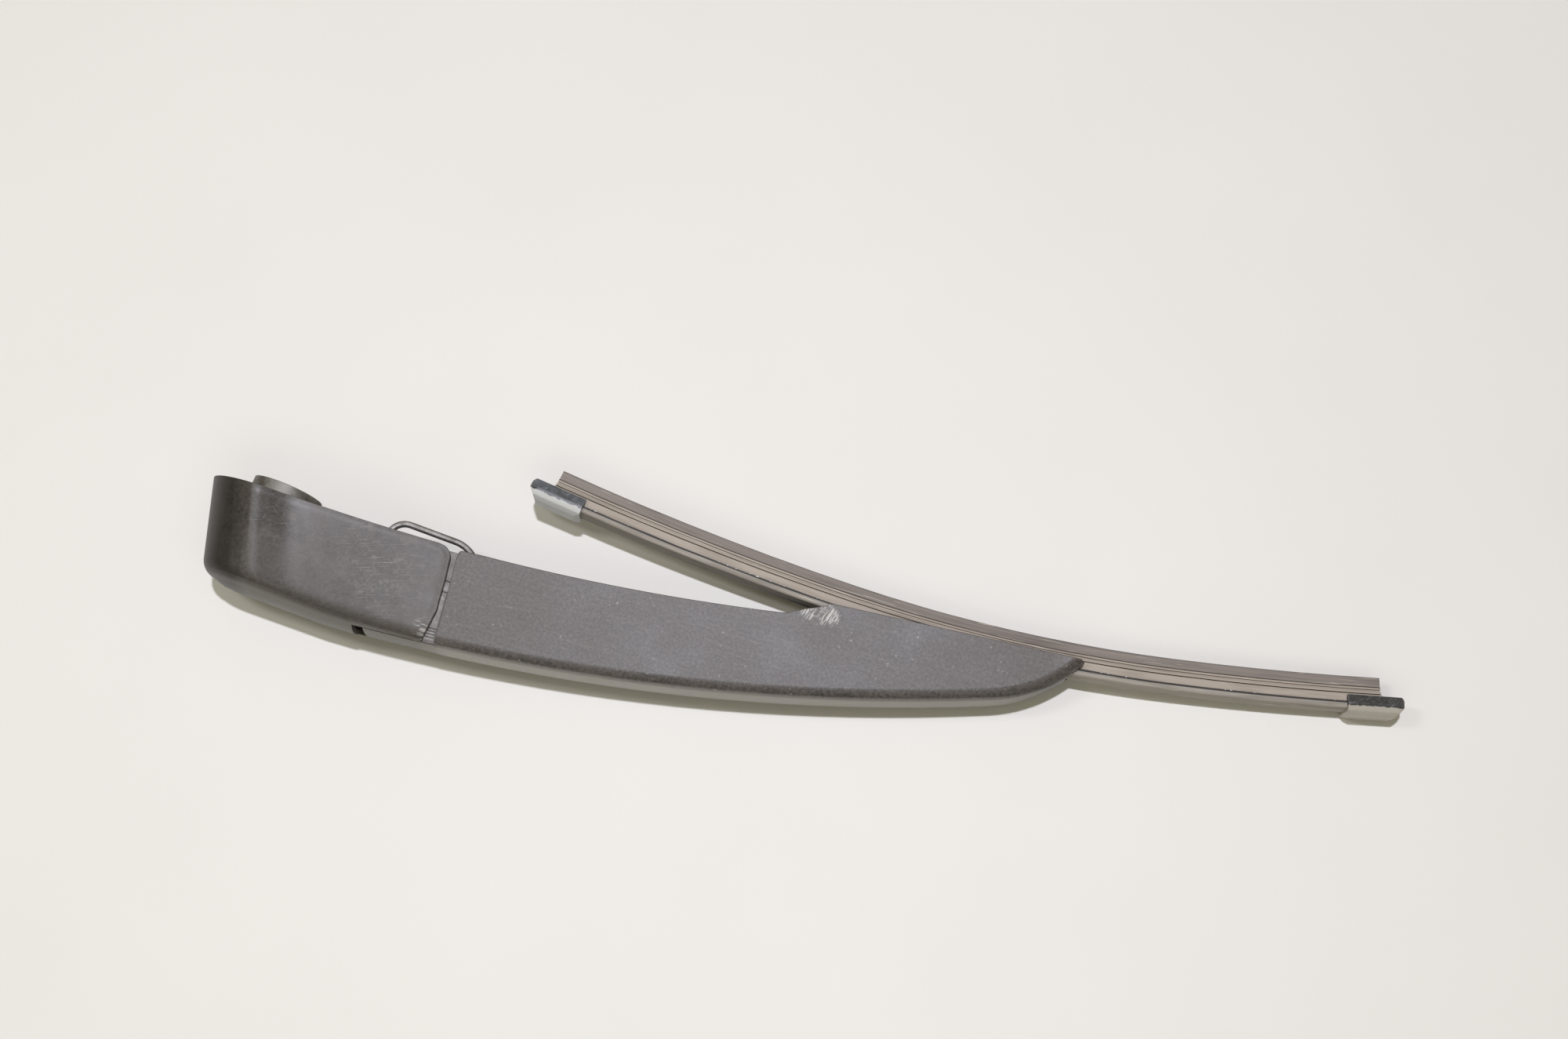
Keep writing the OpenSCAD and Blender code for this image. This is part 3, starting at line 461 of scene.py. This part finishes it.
def ear_plastic():
    """The arm's polyamide where the cover has rubbed on it: pale grey, scratched across, with dirt in
    the grooves beside its ridges."""
    made, tree, shader, place = surface("rubbed_polyamide_ear", "#6f6d6a", rough=0.5)
    blotches = add(tree, "TexNoise", {"Vector": place, "Scale": per_metre(3), "Detail": 4.0,
                                      "Roughness": 0.6})
    rubbed = add(tree, "MapRange", {"Value": blotches.outputs[0], "From Min": 0.32, "From Max": 0.68})
    body = add(tree, "Mix", {0: rubbed.outputs[0], MIX_A: linear("#757370"), MIX_B: linear("#969390")},
               data_type="RGBA")
    local = add(tree, "Mapping", {"Vector": place, "Location": (PAD_MID.x * MM, PAD_MID.y * MM, 0),
                                  "Rotation": (0, 0, math.radians(PAD_LEAN))}, vector_type="TEXTURE")
    along = add(tree, "SeparateXYZ", {0: local.outputs[0]}).outputs[1]
    grooves = [add(tree, "Math", {0: along, 1: y * MM, 2: GROOVE_HALF * MM}, operation="COMPARE").outputs[0]
               for y in GROOVES]
    dirt = add(tree, "Math", {0: largest(tree, grooves), 1: 0.85}, operation="MULTIPLY")
    soiled = add(tree, "Mix", {0: dirt.outputs[0], MIX_A: body.outputs[MIXED], MIX_B: linear("#262422")},
                 data_type="RGBA")
    bright = scratches(tree, place, [(12, 3, 0.4, 0.66), (-6, 2.4, 0.4, 0.68)], strength=0.75)
    rounded, edge = rubbed_edges(tree, radius_mm=0.3, sharp=0.85, strength=0.5)
    tone = add(tree, "Mix", {0: largest(tree, [bright, edge]), MIX_A: soiled.outputs[MIXED],
                             MIX_B: linear("#d4d2ce")}, data_type="RGBA")
    tree.links.new(tone.outputs[MIXED], shader.inputs["Base Color"])
    relief = add(tree, "Bump", {"Height": blotches.outputs[0], "Distance": 0.1 * MM, "Strength": 0.5,
                                "Normal": rounded})
    tree.links.new(relief.outputs[0], shader.inputs["Normal"])
    return made


# Metals
def cast_alloy():
    """Zinc alloy, pressure cast and left bare outdoors: dull grey oxide with brown dirt in patches."""
    made, tree, shader, place = surface("pressure_cast_zinc", "#7b7874", rough=0.56, metal=1.0)
    skin = add(tree, "TexNoise", {"Vector": place, "Scale": per_metre(3), "Detail": 8.0,
                                  "Roughness": 0.65})
    oxide = add(tree, "MapRange", {"Value": skin.outputs[0], "From Min": 0.35, "From Max": 0.65})
    body = add(tree, "Mix", {0: oxide.outputs[0], MIX_A: linear("#7d7a75"), MIX_B: linear("#9e9b95")},
               data_type="RGBA")
    dirt = add(tree, "TexNoise", {"Vector": place, "Scale": per_metre(9), "Detail": 4.0})
    soil = add(tree, "MapRange", {"Value": dirt.outputs[0], "From Min": 0.5, "From Max": 0.7,
                                  "To Max": 0.7})
    soiled = add(tree, "Mix", {0: soil.outputs[0], MIX_A: body.outputs[MIXED], MIX_B: linear("#5d5145")},
                 data_type="RGBA")
    rounded, edge = rubbed_edges(tree, radius_mm=0.4, sharp=0.8, strength=0.6)
    tone = add(tree, "Mix", {0: edge, MIX_A: soiled.outputs[MIXED], MIX_B: linear("#bab8b3")},
               data_type="RGBA")
    tree.links.new(tone.outputs[MIXED], shader.inputs["Base Color"])
    rough = add(tree, "MapRange", {"Value": skin.outputs[0], "From Min": 0.3, "From Max": 0.7,
                                   "To Min": 0.56, "To Max": 0.74})
    tree.links.new(rough.outputs[0], shader.inputs["Roughness"])
    relief = add(tree, "Bump", {"Height": skin.outputs[0], "Distance": 0.12 * MM, "Strength": 0.5,
                                "Normal": rounded})
    tree.links.new(relief.outputs[0], shader.inputs["Normal"])
    return made


def turned_metal(name, dark, light, stain, rough_range, ring_axis):
    """A turned or drawn metal: fine rings along its axis, a thin stain in patches and bright edges."""
    made, tree, shader, place = surface(name, light, rough=rough_range[1], metal=1.0)
    # tool marks are near 0.05 mm, drawn at 0.5 mm so that they show, and at a scale of 1 the bands of
    # this texture are tau / 20 apart
    rings = add(tree, "TexWave", {"Vector": place, "Scale": per_metre(0.5) * math.tau / 20,
                                  "Distortion": 0.6}, wave_type="BANDS", bands_direction=ring_axis)
    blot = add(tree, "TexNoise", {"Vector": place, "Scale": per_metre(5), "Detail": 6.0,
                                  "Roughness": 0.65})
    patch = add(tree, "MapRange", {"Value": blot.outputs[0], "From Min": 0.4, "From Max": 0.66})
    body = add(tree, "Mix", {0: patch.outputs[0], MIX_A: linear(light), MIX_B: linear(dark)},
               data_type="RGBA")
    spots = add(tree, "TexNoise", {"Vector": place, "Scale": per_metre(1.8), "Detail": 5.0,
                                   "Roughness": 0.7})
    spotted = add(tree, "MapRange", {"Value": spots.outputs[0], "From Min": 0.58, "From Max": 0.7,
                                     "To Max": 0.6})
    marked = add(tree, "Mix", {0: spotted.outputs[0], MIX_A: body.outputs[MIXED], MIX_B: linear(stain)},
                 data_type="RGBA")
    rounded, edge = rubbed_edges(tree, radius_mm=0.25, sharp=0.8, strength=0.5)
    tone = add(tree, "Mix", {0: edge, MIX_A: marked.outputs[MIXED], MIX_B: linear("#c9c7c3")},
               data_type="RGBA")
    tree.links.new(tone.outputs[MIXED], shader.inputs["Base Color"])
    rough = add(tree, "MapRange", {"Value": blot.outputs[0], "From Min": 0.3, "From Max": 0.7,
                                   "To Min": rough_range[0], "To Max": rough_range[1]})
    tree.links.new(rough.outputs[0], shader.inputs["Roughness"])
    relief = add(tree, "Bump", {"Height": rings.outputs["Fac"], "Distance": 0.03 * MM,
                                "Strength": 0.35, "Normal": rounded})
    tree.links.new(relief.outputs[0], shader.inputs["Normal"])
    return made


def spring_wire():
    """Patented spring wire, drawn and phosphated: dull mid grey, finely rough, with dark oil patches."""
    made, tree, shader, place = surface("phosphated_spring_wire", "#77736e", rough=0.5, metal=1.0)
    blot = add(tree, "TexNoise", {"Vector": place, "Scale": per_metre(6), "Detail": 5.0,
                                  "Roughness": 0.65})
    oiled = add(tree, "MapRange", {"Value": blot.outputs[0], "From Min": 0.42, "From Max": 0.62})
    tone = add(tree, "Mix", {0: oiled.outputs[0], MIX_A: linear("#a3a19f"), MIX_B: linear("#7e7b78")},
               data_type="RGBA")
    tree.links.new(tone.outputs[MIXED], shader.inputs["Base Color"])
    # phosphate crystals are near 0.01 mm, drawn at 0.7 mm so that they show
    coat = add(tree, "TexNoise", {"Vector": place, "Scale": per_metre(0.7), "Detail": 3.0})
    rough = add(tree, "MapRange", {"Value": coat.outputs[0], "From Min": 0.3, "From Max": 0.7,
                                   "To Min": 0.5, "To Max": 0.66})
    tree.links.new(rough.outputs[0], shader.inputs["Roughness"])
    relief = add(tree, "Bump", {"Height": coat.outputs[0], "Distance": 0.05 * MM, "Strength": 0.4})
    tree.links.new(relief.outputs[0], shader.inputs["Normal"])
    return made


# The blade: its patterns run along its bow
def blade_lines(tree, place):
    """Where a point is on the blade, in metres, as one vector: along its chord, depth from the rails
    with the lip below 0, and height."""
    centred = add(tree, "Mapping", {"Vector": place,
                                    "Location": (BLADE_MID.x * MM, BLADE_MID.y * MM, 0),
                                    "Rotation": (0, 0, math.radians(BLADE_PITCH))},
                  vector_type="TEXTURE")
    parts = add(tree, "SeparateXYZ", {0: centred.outputs[0]})
    side = add(tree, "Math", {0: parts.outputs[0]}, operation="ABSOLUTE")
    flat = add(tree, "CombineXYZ", {0: side.outputs[0], 1: parts.outputs[1], 2: 0.0})
    # the bow is an arc in the middle and a flatter one beyond each knee
    bend = BOW_HALF / BOW_R
    knee = Vector((BOW_R * math.sin(bend), BOW_R * (1 - math.cos(bend)), 0))
    mid_centre = Vector((0, BOW_R, 0))
    far_centre = knee + END_R * Vector((-math.sin(bend), math.cos(bend), 0))
    to_mid = add(tree, "VectorMath", {0: flat.outputs[0], 1: mid_centre * MM}, operation="DISTANCE")
    to_far = add(tree, "VectorMath", {0: flat.outputs[0], 1: far_centre * MM}, operation="DISTANCE")
    mid_depth = add(tree, "Math", {0: to_mid.outputs["Value"], 1: BOW_R * MM}, operation="SUBTRACT")
    far_depth = add(tree, "Math", {0: to_far.outputs["Value"], 1: END_R * MM}, operation="SUBTRACT")
    beyond = add(tree, "Math", {0: side.outputs[0], 1: knee.x * MM}, operation="GREATER_THAN")
    depth = add(tree, "Mix", {0: beyond.outputs[0], NUMBER_A: mid_depth.outputs[0],
                              NUMBER_B: far_depth.outputs[0]}, data_type="FLOAT")
    on_blade = add(tree, "CombineXYZ", {0: parts.outputs[0], 1: depth.outputs[NUMBER_MIXED],
                                        2: parts.outputs[2]})
    return on_blade.outputs[0]


def along_grain(tree, on_blade, long_mm, fine_mm, detail):
    """Noise drawn long down the blade and fine across it, as an extruded or rolled strip has it."""
    scale = Vector((per_metre(long_mm), per_metre(fine_mm), per_metre(fine_mm)))
    grain = add(tree, "VectorMath", {0: on_blade, 1: scale}, operation="MULTIPLY")
    return add(tree, "TexNoise", {"Vector": grain.outputs[0], "Scale": 1.0, "Detail": detail}).outputs[0]


def blade_rubber(name, lip, base, dark, rough):
    """Natural rubber, extruded and cut: die lines run its whole length, the face is bloomed dull
    grey-beige, dirt and painted shade darken the grooves and pale scratches run along it."""
    made, tree, shader, place = surface(name, base, rough=rough)
    on_blade = blade_lines(tree, place)
    depth = add(tree, "SeparateXYZ", {0: on_blade}).outputs[1]
    # die lines are near 0.05 mm, drawn at 0.35 mm so that they show
    lines = along_grain(tree, on_blade, long_mm=60, fine_mm=0.35, detail=2.0)
    broad = along_grain(tree, on_blade, long_mm=25, fine_mm=2.2, detail=4.0)
    scored = along_grain(tree, on_blade, long_mm=16, fine_mm=0.5, detail=3.0)
    on_lip = add(tree, "MapRange", {"Value": depth, "From Min": LIP_ROOT[0] * MM,
                                    "From Max": LIP_ROOT[1] * MM})
    face = add(tree, "Mix", {0: on_lip.outputs[0], MIX_A: linear(base), MIX_B: linear(lip)},
               data_type="RGBA")
    shade = add(tree, "MapRange", {"Value": lines, "From Min": 0.42, "From Max": 0.62, "To Max": 0.16})
    lined = add(tree, "Mix", {0: shade.outputs[0], MIX_A: face.outputs[MIXED], MIX_B: linear("#b7aea2")},
                data_type="RGBA")
    soil = add(tree, "MapRange", {"Value": broad, "From Min": 0.5, "From Max": 0.66, "To Max": 0.22})
    soiled = add(tree, "Mix", {0: soil.outputs[0], MIX_A: lined.outputs[MIXED], MIX_B: linear(dark)},
                 data_type="RGBA")
    # the lip's edge is dark and soft, and painted shade with dirt darkens the lines down the strip
    tip = add(tree, "MapRange", {"Value": depth, "From Min": LIP_EDGE[0] * MM,
                                 "From Max": LIP_EDGE[1] * MM, "To Max": 0.5})
    dark_shares = [tip.outputs[0]]
    for line_depth, half_wide, strength in SHADE_AND_DIRT_LINES:
        line = add(tree, "Math", {0: depth, 1: line_depth * MM, 2: half_wide * MM}, operation="COMPARE")
        dirt = add(tree, "Math", {0: line.outputs[0], 1: strength}, operation="MULTIPLY")
        dark_shares.append(dirt.outputs[0])
    edged = add(tree, "Mix", {0: largest(tree, dark_shares), MIX_A: soiled.outputs[MIXED],
                              MIX_B: linear(dark)}, data_type="RGBA")
    score = add(tree, "MapRange", {"Value": scored, "From Min": 0.63, "From Max": 0.7, "To Max": 0.55})
    tone = add(tree, "Mix", {0: score.outputs[0], MIX_A: edged.outputs[MIXED], MIX_B: linear("#cfc8bd")},
               data_type="RGBA")
    tree.links.new(tone.outputs[MIXED], shader.inputs["Base Color"])
    matt = add(tree, "MapRange", {"Value": broad, "From Min": 0.3, "From Max": 0.7,
                                  "To Min": rough - 0.06, "To Max": rough + 0.08})
    tree.links.new(matt.outputs[0], shader.inputs["Roughness"])
    relief = add(tree, "Bump", {"Height": lines, "Distance": 0.08 * MM, "Strength": 0.3})
    tree.links.new(relief.outputs[0], shader.inputs["Normal"])
    return made


def rail_steel():
    """Spring steel strip, blued: near black with rolling lines down its length and bright worn specks."""
    made, tree, shader, place = surface("blued_spring_strip", "#3a3836", rough=0.42, metal=1.0)
    on_blade = blade_lines(tree, place)
    # rolling lines are near 0.05 mm, drawn at 0.4 mm so that they show
    lines = along_grain(tree, on_blade, long_mm=50, fine_mm=0.4, detail=3.0)
    bloom = along_grain(tree, on_blade, long_mm=12, fine_mm=3.0, detail=4.0)
    film = add(tree, "MapRange", {"Value": bloom, "From Min": 0.42, "From Max": 0.62})
    blued = add(tree, "Mix", {0: film.outputs[0], MIX_A: linear("#2e2d2c"), MIX_B: linear("#4d4843")},
                data_type="RGBA")
    specks = add(tree, "TexNoise", {"Vector": place, "Scale": per_metre(1.3), "Detail": 4.0})
    speck = add(tree, "MapRange", {"Value": specks.outputs[0], "From Min": 0.62, "From Max": 0.7})
    tone = add(tree, "Mix", {0: speck.outputs[0], MIX_A: blued.outputs[MIXED], MIX_B: linear("#b9b6b1")},
               data_type="RGBA")
    tree.links.new(tone.outputs[MIXED], shader.inputs["Base Color"])
    rough = add(tree, "MapRange", {"Value": lines, "From Min": 0.3, "From Max": 0.7,
                                   "To Min": 0.36, "To Max": 0.5})
    tree.links.new(rough.outputs[0], shader.inputs["Roughness"])
    relief = add(tree, "Bump", {"Height": lines, "Distance": 0.03 * MM, "Strength": 0.4})
    tree.links.new(relief.outputs[0], shader.inputs["Normal"])
    return made


def blade_place(length):
    """A point of the blade's line and its direction, at a length from the middle of the bow."""
    in_middle = min(max(length, -BOW_HALF), BOW_HALF)
    bend = in_middle / BOW_R
    turn = bend + (length - in_middle) / END_R
    point = BOW_R * Vector((math.sin(bend), 1 - math.cos(bend)))
    point += END_R * Vector((math.sin(turn) - math.sin(bend), math.cos(bend) - math.cos(turn)))
    pitch = math.radians(BLADE_PITCH)
    return BLADE_MID + Matrix.Rotation(pitch, 2) @ point, pitch + turn


def cap_plastic(node, deep, face, back_tone):
    """Acetal, moulded in two halves: dark slate, half gloss on its flat faces, with dirt in the rough
    parting line at its shoulder and bleached pale on the rounded back."""
    made, tree, shader, place = surface("moulded_acetal_" + node, face, rough=0.34)
    at, turn = blade_place(CAP_AT[node])
    local = add(tree, "Mapping", {"Vector": place, "Location": (at.x * MM, at.y * MM, 0),
                                  "Rotation": (0, 0, turn)}, vector_type="TEXTURE")
    depth = add(tree, "SeparateXYZ", {0: local.outputs[0]}).outputs[1]
    blot = add(tree, "TexNoise", {"Vector": place, "Scale": per_metre(3.5), "Detail": 5.0,
                                  "Roughness": 0.65})
    cloudy = add(tree, "MapRange", {"Value": blot.outputs[0], "From Min": 0.38, "From Max": 0.64})
    slate = add(tree, "Mix", {0: cloudy.outputs[0], MIX_A: linear(deep), MIX_B: linear(face)},
                data_type="RGBA")
    # the parting line wanders a little
    wander = add(tree, "TexNoise", {"Vector": place, "Scale": per_metre(1.6), "Detail": 4.0})
    ragged = add(tree, "Math", {0: wander.outputs[0], 1: SEAM_WANDER * MM, 2: depth},
                 operation="MULTIPLY_ADD")
    back = add(tree, "MapRange", {"Value": ragged.outputs[0], "From Min": CAP_BACK[0] * MM,
                                  "From Max": CAP_BACK[1] * MM, "To Max": 0.85})
    bleached = add(tree, "Mix", {0: back.outputs[0], MIX_A: slate.outputs[MIXED],
                                 MIX_B: linear(back_tone)}, data_type="RGBA")
    seam = add(tree, "Math", {0: ragged.outputs[0], 1: SEAM_AT * MM, 2: SEAM_HALF * MM},
               operation="COMPARE")
    dirt = add(tree, "Math", {0: seam.outputs[0], 1: 0.8}, operation="MULTIPLY")
    seamed = add(tree, "Mix", {0: dirt.outputs[0], MIX_A: bleached.outputs[MIXED],
                               MIX_B: linear("#191a1d")}, data_type="RGBA")
    rounded, edge = rubbed_edges(tree, radius_mm=0.45, sharp=0.85, strength=0.3)
    marks = scratches(tree, place, [(60, 2.5, 0.35, 0.64), (5, 4, 0.35, 0.65)], strength=0.22)
    tone = add(tree, "Mix", {0: largest(tree, [edge, marks]), MIX_A: seamed.outputs[MIXED],
                             MIX_B: linear("#c3c6c8")}, data_type="RGBA")
    tree.links.new(tone.outputs[MIXED], shader.inputs["Base Color"])
    rough = add(tree, "MapRange", {"Value": blot.outputs[0], "From Min": 0.3, "From Max": 0.7,
                                   "To Min": 0.3, "To Max": 0.44})
    tree.links.new(rough.outputs[0], shader.inputs["Roughness"])
    relief = add(tree, "Bump", {"Height": blot.outputs[0], "Distance": 0.1 * MM, "Strength": 0.3,
                                "Normal": faired(tree, rounded, radius_mm=1.5)})
    tree.links.new(relief.outputs[0], shader.inputs["Normal"])
    return made


def adapter_plastic():
    """Acetal, moulded: plain black with a low gloss and sink marks, scratched by the arm's carrier."""
    made, tree, shader, place = surface("moulded_acetal_adapter", "#1f1f20", rough=0.38)
    sink = add(tree, "TexNoise", {"Vector": place, "Scale": per_metre(5), "Detail": 4.0})
    cloudy = add(tree, "MapRange", {"Value": sink.outputs[0], "From Min": 0.35, "From Max": 0.65})
    body = add(tree, "Mix", {0: cloudy.outputs[0], MIX_A: linear("#19191a"), MIX_B: linear("#29292a")},
               data_type="RGBA")
    marks = scratches(tree, place, [(30, 5, 0.4, 0.64), (-50, 4, 0.4, 0.65)], strength=0.3)
    rounded, edge = rubbed_edges(tree, radius_mm=0.4, sharp=0.8, strength=0.3)
    tone = add(tree, "Mix", {0: largest(tree, [marks, edge]), MIX_A: body.outputs[MIXED],
                             MIX_B: linear("#8f8d8a")}, data_type="RGBA")
    tree.links.new(tone.outputs[MIXED], shader.inputs["Base Color"])
    rough = add(tree, "MapRange", {"Value": sink.outputs[0], "From Min": 0.3, "From Max": 0.7,
                                   "To Min": 0.32, "To Max": 0.46})
    tree.links.new(rough.outputs[0], shader.inputs["Roughness"])
    relief = add(tree, "Bump", {"Height": sink.outputs[0], "Distance": 0.1 * MM, "Strength": 0.3,
                                "Normal": rounded})
    tree.links.new(relief.outputs[0], shader.inputs["Normal"])
    return made


# Small forms that the CAD leaves out
def pick(piece):
    """Selects one piece alone and makes it the active one."""
    bpy.ops.object.select_all(action="DESELECT")
    bpy.context.view_layer.objects.active = piece
    piece.select_set(True)


def finish_piece(piece, body, paint, angle=35):
    """Puts the piece's place into its mesh, smooths it, and gives it its finish and its body."""
    pick(piece)
    bpy.ops.object.transform_apply(location=True, rotation=True, scale=True)
    bpy.ops.object.shade_smooth_by_angle(angle=math.radians(angle))
    piece.data.materials.clear()
    piece.data.materials.append(paint)
    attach(piece, body)


def on_ridge(y):
    """Whether a place along the pad, in mm, is on a ridge or on the bump."""
    return any(low < y < high for low, high in RIDGES)


def upper_ear_pad():
    """A thin plate on the upper ear, cut across into ridges and one square bump, with soft edges."""
    bpy.ops.object.select_all(action="DESELECT")
    bpy.ops.mesh.primitive_cube_add(size=1)
    piece = bpy.context.object
    piece.name = "ear_pad_upper"
    bpy.ops.object.mode_set(mode="EDIT")
    bpy.ops.mesh.select_all(action="SELECT")
    bpy.ops.transform.resize(value=tuple(PAD_SIZE * MM))
    for ridge in RIDGES:
        for y in ridge:
            bpy.ops.mesh.select_all(action="SELECT")
            bpy.ops.mesh.bisect(plane_co=(0, y * MM, 0), plane_no=(0, 1, 0))
    bpy.ops.mesh.select_mode(type="FACE")
    bpy.ops.mesh.select_all(action="DESELECT")
    bpy.ops.object.mode_set(mode="OBJECT")
    for face in piece.data.polygons:
        face.select = face.normal.z > 0.5 and on_ridge(face.center.y / MM)
    bpy.ops.object.mode_set(mode="EDIT")
    bpy.ops.mesh.extrude_region_move(TRANSFORM_OT_translate={"value": (0, 0, RIDGE_H * MM)})
    bpy.ops.object.mode_set(mode="OBJECT")
    soft = piece.modifiers.new("soft_edges", "BEVEL")
    soft.width = PAD_ROUND * MM
    soft.segments = 2
    bpy.ops.object.modifier_apply(modifier="soft_edges")
    piece.rotation_euler = (0, 0, math.radians(PAD_LEAN))
    piece.location = Vector((PAD_MID.x, PAD_MID.y, EAR_FACE + PAD_SIZE.z / 2 - PAD_SUNK)) * MM
    return piece


def mirrored_below(piece, name):
    """A copy with its own mesh, mirrored to the wiper's lower side. A mirrored mesh is inside out, so
    its faces are turned out again."""
    pick(piece)
    bpy.ops.object.transform_apply(location=True, rotation=True, scale=True)
    bpy.ops.object.duplicate()
    copy = bpy.context.object
    copy.name = name
    copy.scale.z = -1
    bpy.ops.object.transform_apply(location=True, rotation=True, scale=True)
    bpy.ops.object.mode_set(mode="EDIT")
    bpy.ops.mesh.select_all(action="SELECT")
    bpy.ops.mesh.remove_doubles(threshold=SAME_POINT * MM)
    bpy.ops.mesh.normals_make_consistent(inside=False)
    bpy.ops.object.mode_set(mode="OBJECT")
    return copy


def bore_serrations():
    """An open ring with every second edge drawn inwards to a tooth, then given a wall."""
    bpy.ops.object.select_all(action="DESELECT")
    bpy.ops.mesh.primitive_cylinder_add(vertices=2 * TEETH, radius=(BORE_R + TEETH_SUNK) * MM,
                                        depth=(BORE_DEPTH - TEETH_CLEAR) * MM, end_fill_type="NOTHING")
    piece = bpy.context.object
    piece.name = "bush_serrations"
    bpy.ops.object.mode_set(mode="EDIT")
    bpy.ops.mesh.select_mode(type="VERT")
    bpy.ops.mesh.select_all(action="DESELECT")
    bpy.ops.object.mode_set(mode="OBJECT")
    for point in piece.data.vertices:
        step = math.atan2(point.co.y, point.co.x) / math.tau * 2 * TEETH
        point.select = round(step) % 2 == 0
    bpy.ops.object.mode_set(mode="EDIT")
    drawn_in = (BORE_R - TOOTH_H) / BORE_R
    bpy.ops.transform.resize(value=(drawn_in, drawn_in, 1))
    bpy.ops.object.mode_set(mode="OBJECT")
    wall = piece.modifiers.new("wall", "SOLIDIFY")
    wall.thickness = TEETH_WALL * MM
    wall.offset = 1
    bpy.ops.object.modifier_apply(modifier="wall")
    piece.rotation_euler = (math.radians(90), 0, 0)
    piece.location = (0, -BORE_DEPTH / 2 * MM, 0)
    return piece


# Finishes
cover_finish = cover_plastic()
arm_finish = arm_plastic()
ear_finish = ear_plastic()
cast_finish = cast_alloy()
# the bush is turned steel, mid grey with rings round its bore and brown stains
bush_finish = turned_metal("turned_free_cutting_steel", dark="#77726b", light="#989590", stain="#5a4636",
                           rough_range=(0.34, 0.5), ring_axis="Y")
# the pins are drawn steel, paler and smoother
pin_finish = turned_metal("drawn_pin_steel", dark="#83807b", light="#a3a19d", stain="#5b4a3b",
                          rough_range=(0.28, 0.42), ring_axis="Z")
# the ear bushes are pressed bronze powder, dull brown with dark oil in its pores
bronze_finish = turned_metal("sintered_bronze", dark="#6d5232", light="#94703f", stain="#463527",
                             rough_range=(0.42, 0.58), ring_axis="Z")
# the bracket is folded sheet, plated with zinc, so it is a bluish pale grey
bracket_finish = turned_metal("zinc_plated_bracket_steel", dark="#85888a", light="#a6a8a8",
                              stain="#6a6558", rough_range=(0.34, 0.5), ring_axis="X")
wire_finish = spring_wire()
# the wiping rubber has bloomed pale, with a browner lip
rubber_finish = blade_rubber("bloomed_natural_rubber", lip="#79706a", base="#a3988b", dark="#332e29",
                             rough=0.6)
# the spoilers are as pale, with blacker dirt and painted shade in their grooves
spoiler_finish = blade_rubber("extruded_spoiler_rubber", lip="#8f8981", base="#928c83", dark="#1b1a18",
                              rough=0.62)
rail_finish = rail_steel()
adapter_finish = adapter_plastic()
inner_cap_finish = cap_plastic("end_cap_inner", deep="#4d4f52", face="#63666b", back_tone="#cfd0ce")
outer_cap_finish = cap_plastic("end_cap_outer", deep="#353534", face="#454544", back_tone="#b3ada1")

FINISH = {
    "mounting_head": cast_finish,
    "spindle_bush": bush_finish,
    "hinge_pin": pin_finish,
    "anchor_pin": pin_finish,
    "spring_pin": pin_finish,
    "blade_pin": pin_finish,
    "head_cover": cover_finish,
    "arm_shell": arm_finish,
    "blade_carrier": adapter_finish,
    "ear_bush_upper": bronze_finish,
    "ear_bush_lower": bronze_finish,
    "spring_hook": wire_finish,
    "tension_spring": wire_finish,
    "wiper_rubber": rubber_finish,
    "rail_upper": rail_finish,
    "rail_lower": rail_finish,
    "spoiler_inner": spoiler_finish,
    "spoiler_outer": spoiler_finish,
    "blade_bracket": bracket_finish,
    "blade_adapter": adapter_finish,
    "end_cap_inner": inner_cap_finish,
    "end_cap_outer": outer_cap_finish,
}
for name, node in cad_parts.items():
    node.data.materials.clear()
    node.data.materials.append(FINISH[name])

upper_pad = upper_ear_pad()
lower_pad = mirrored_below(upper_pad, "ear_pad_lower")
finish_piece(upper_pad, "arm", ear_finish)
finish_piece(lower_pad, "arm", ear_finish)
finish_piece(bore_serrations(), "head", bush_finish, angle=20)
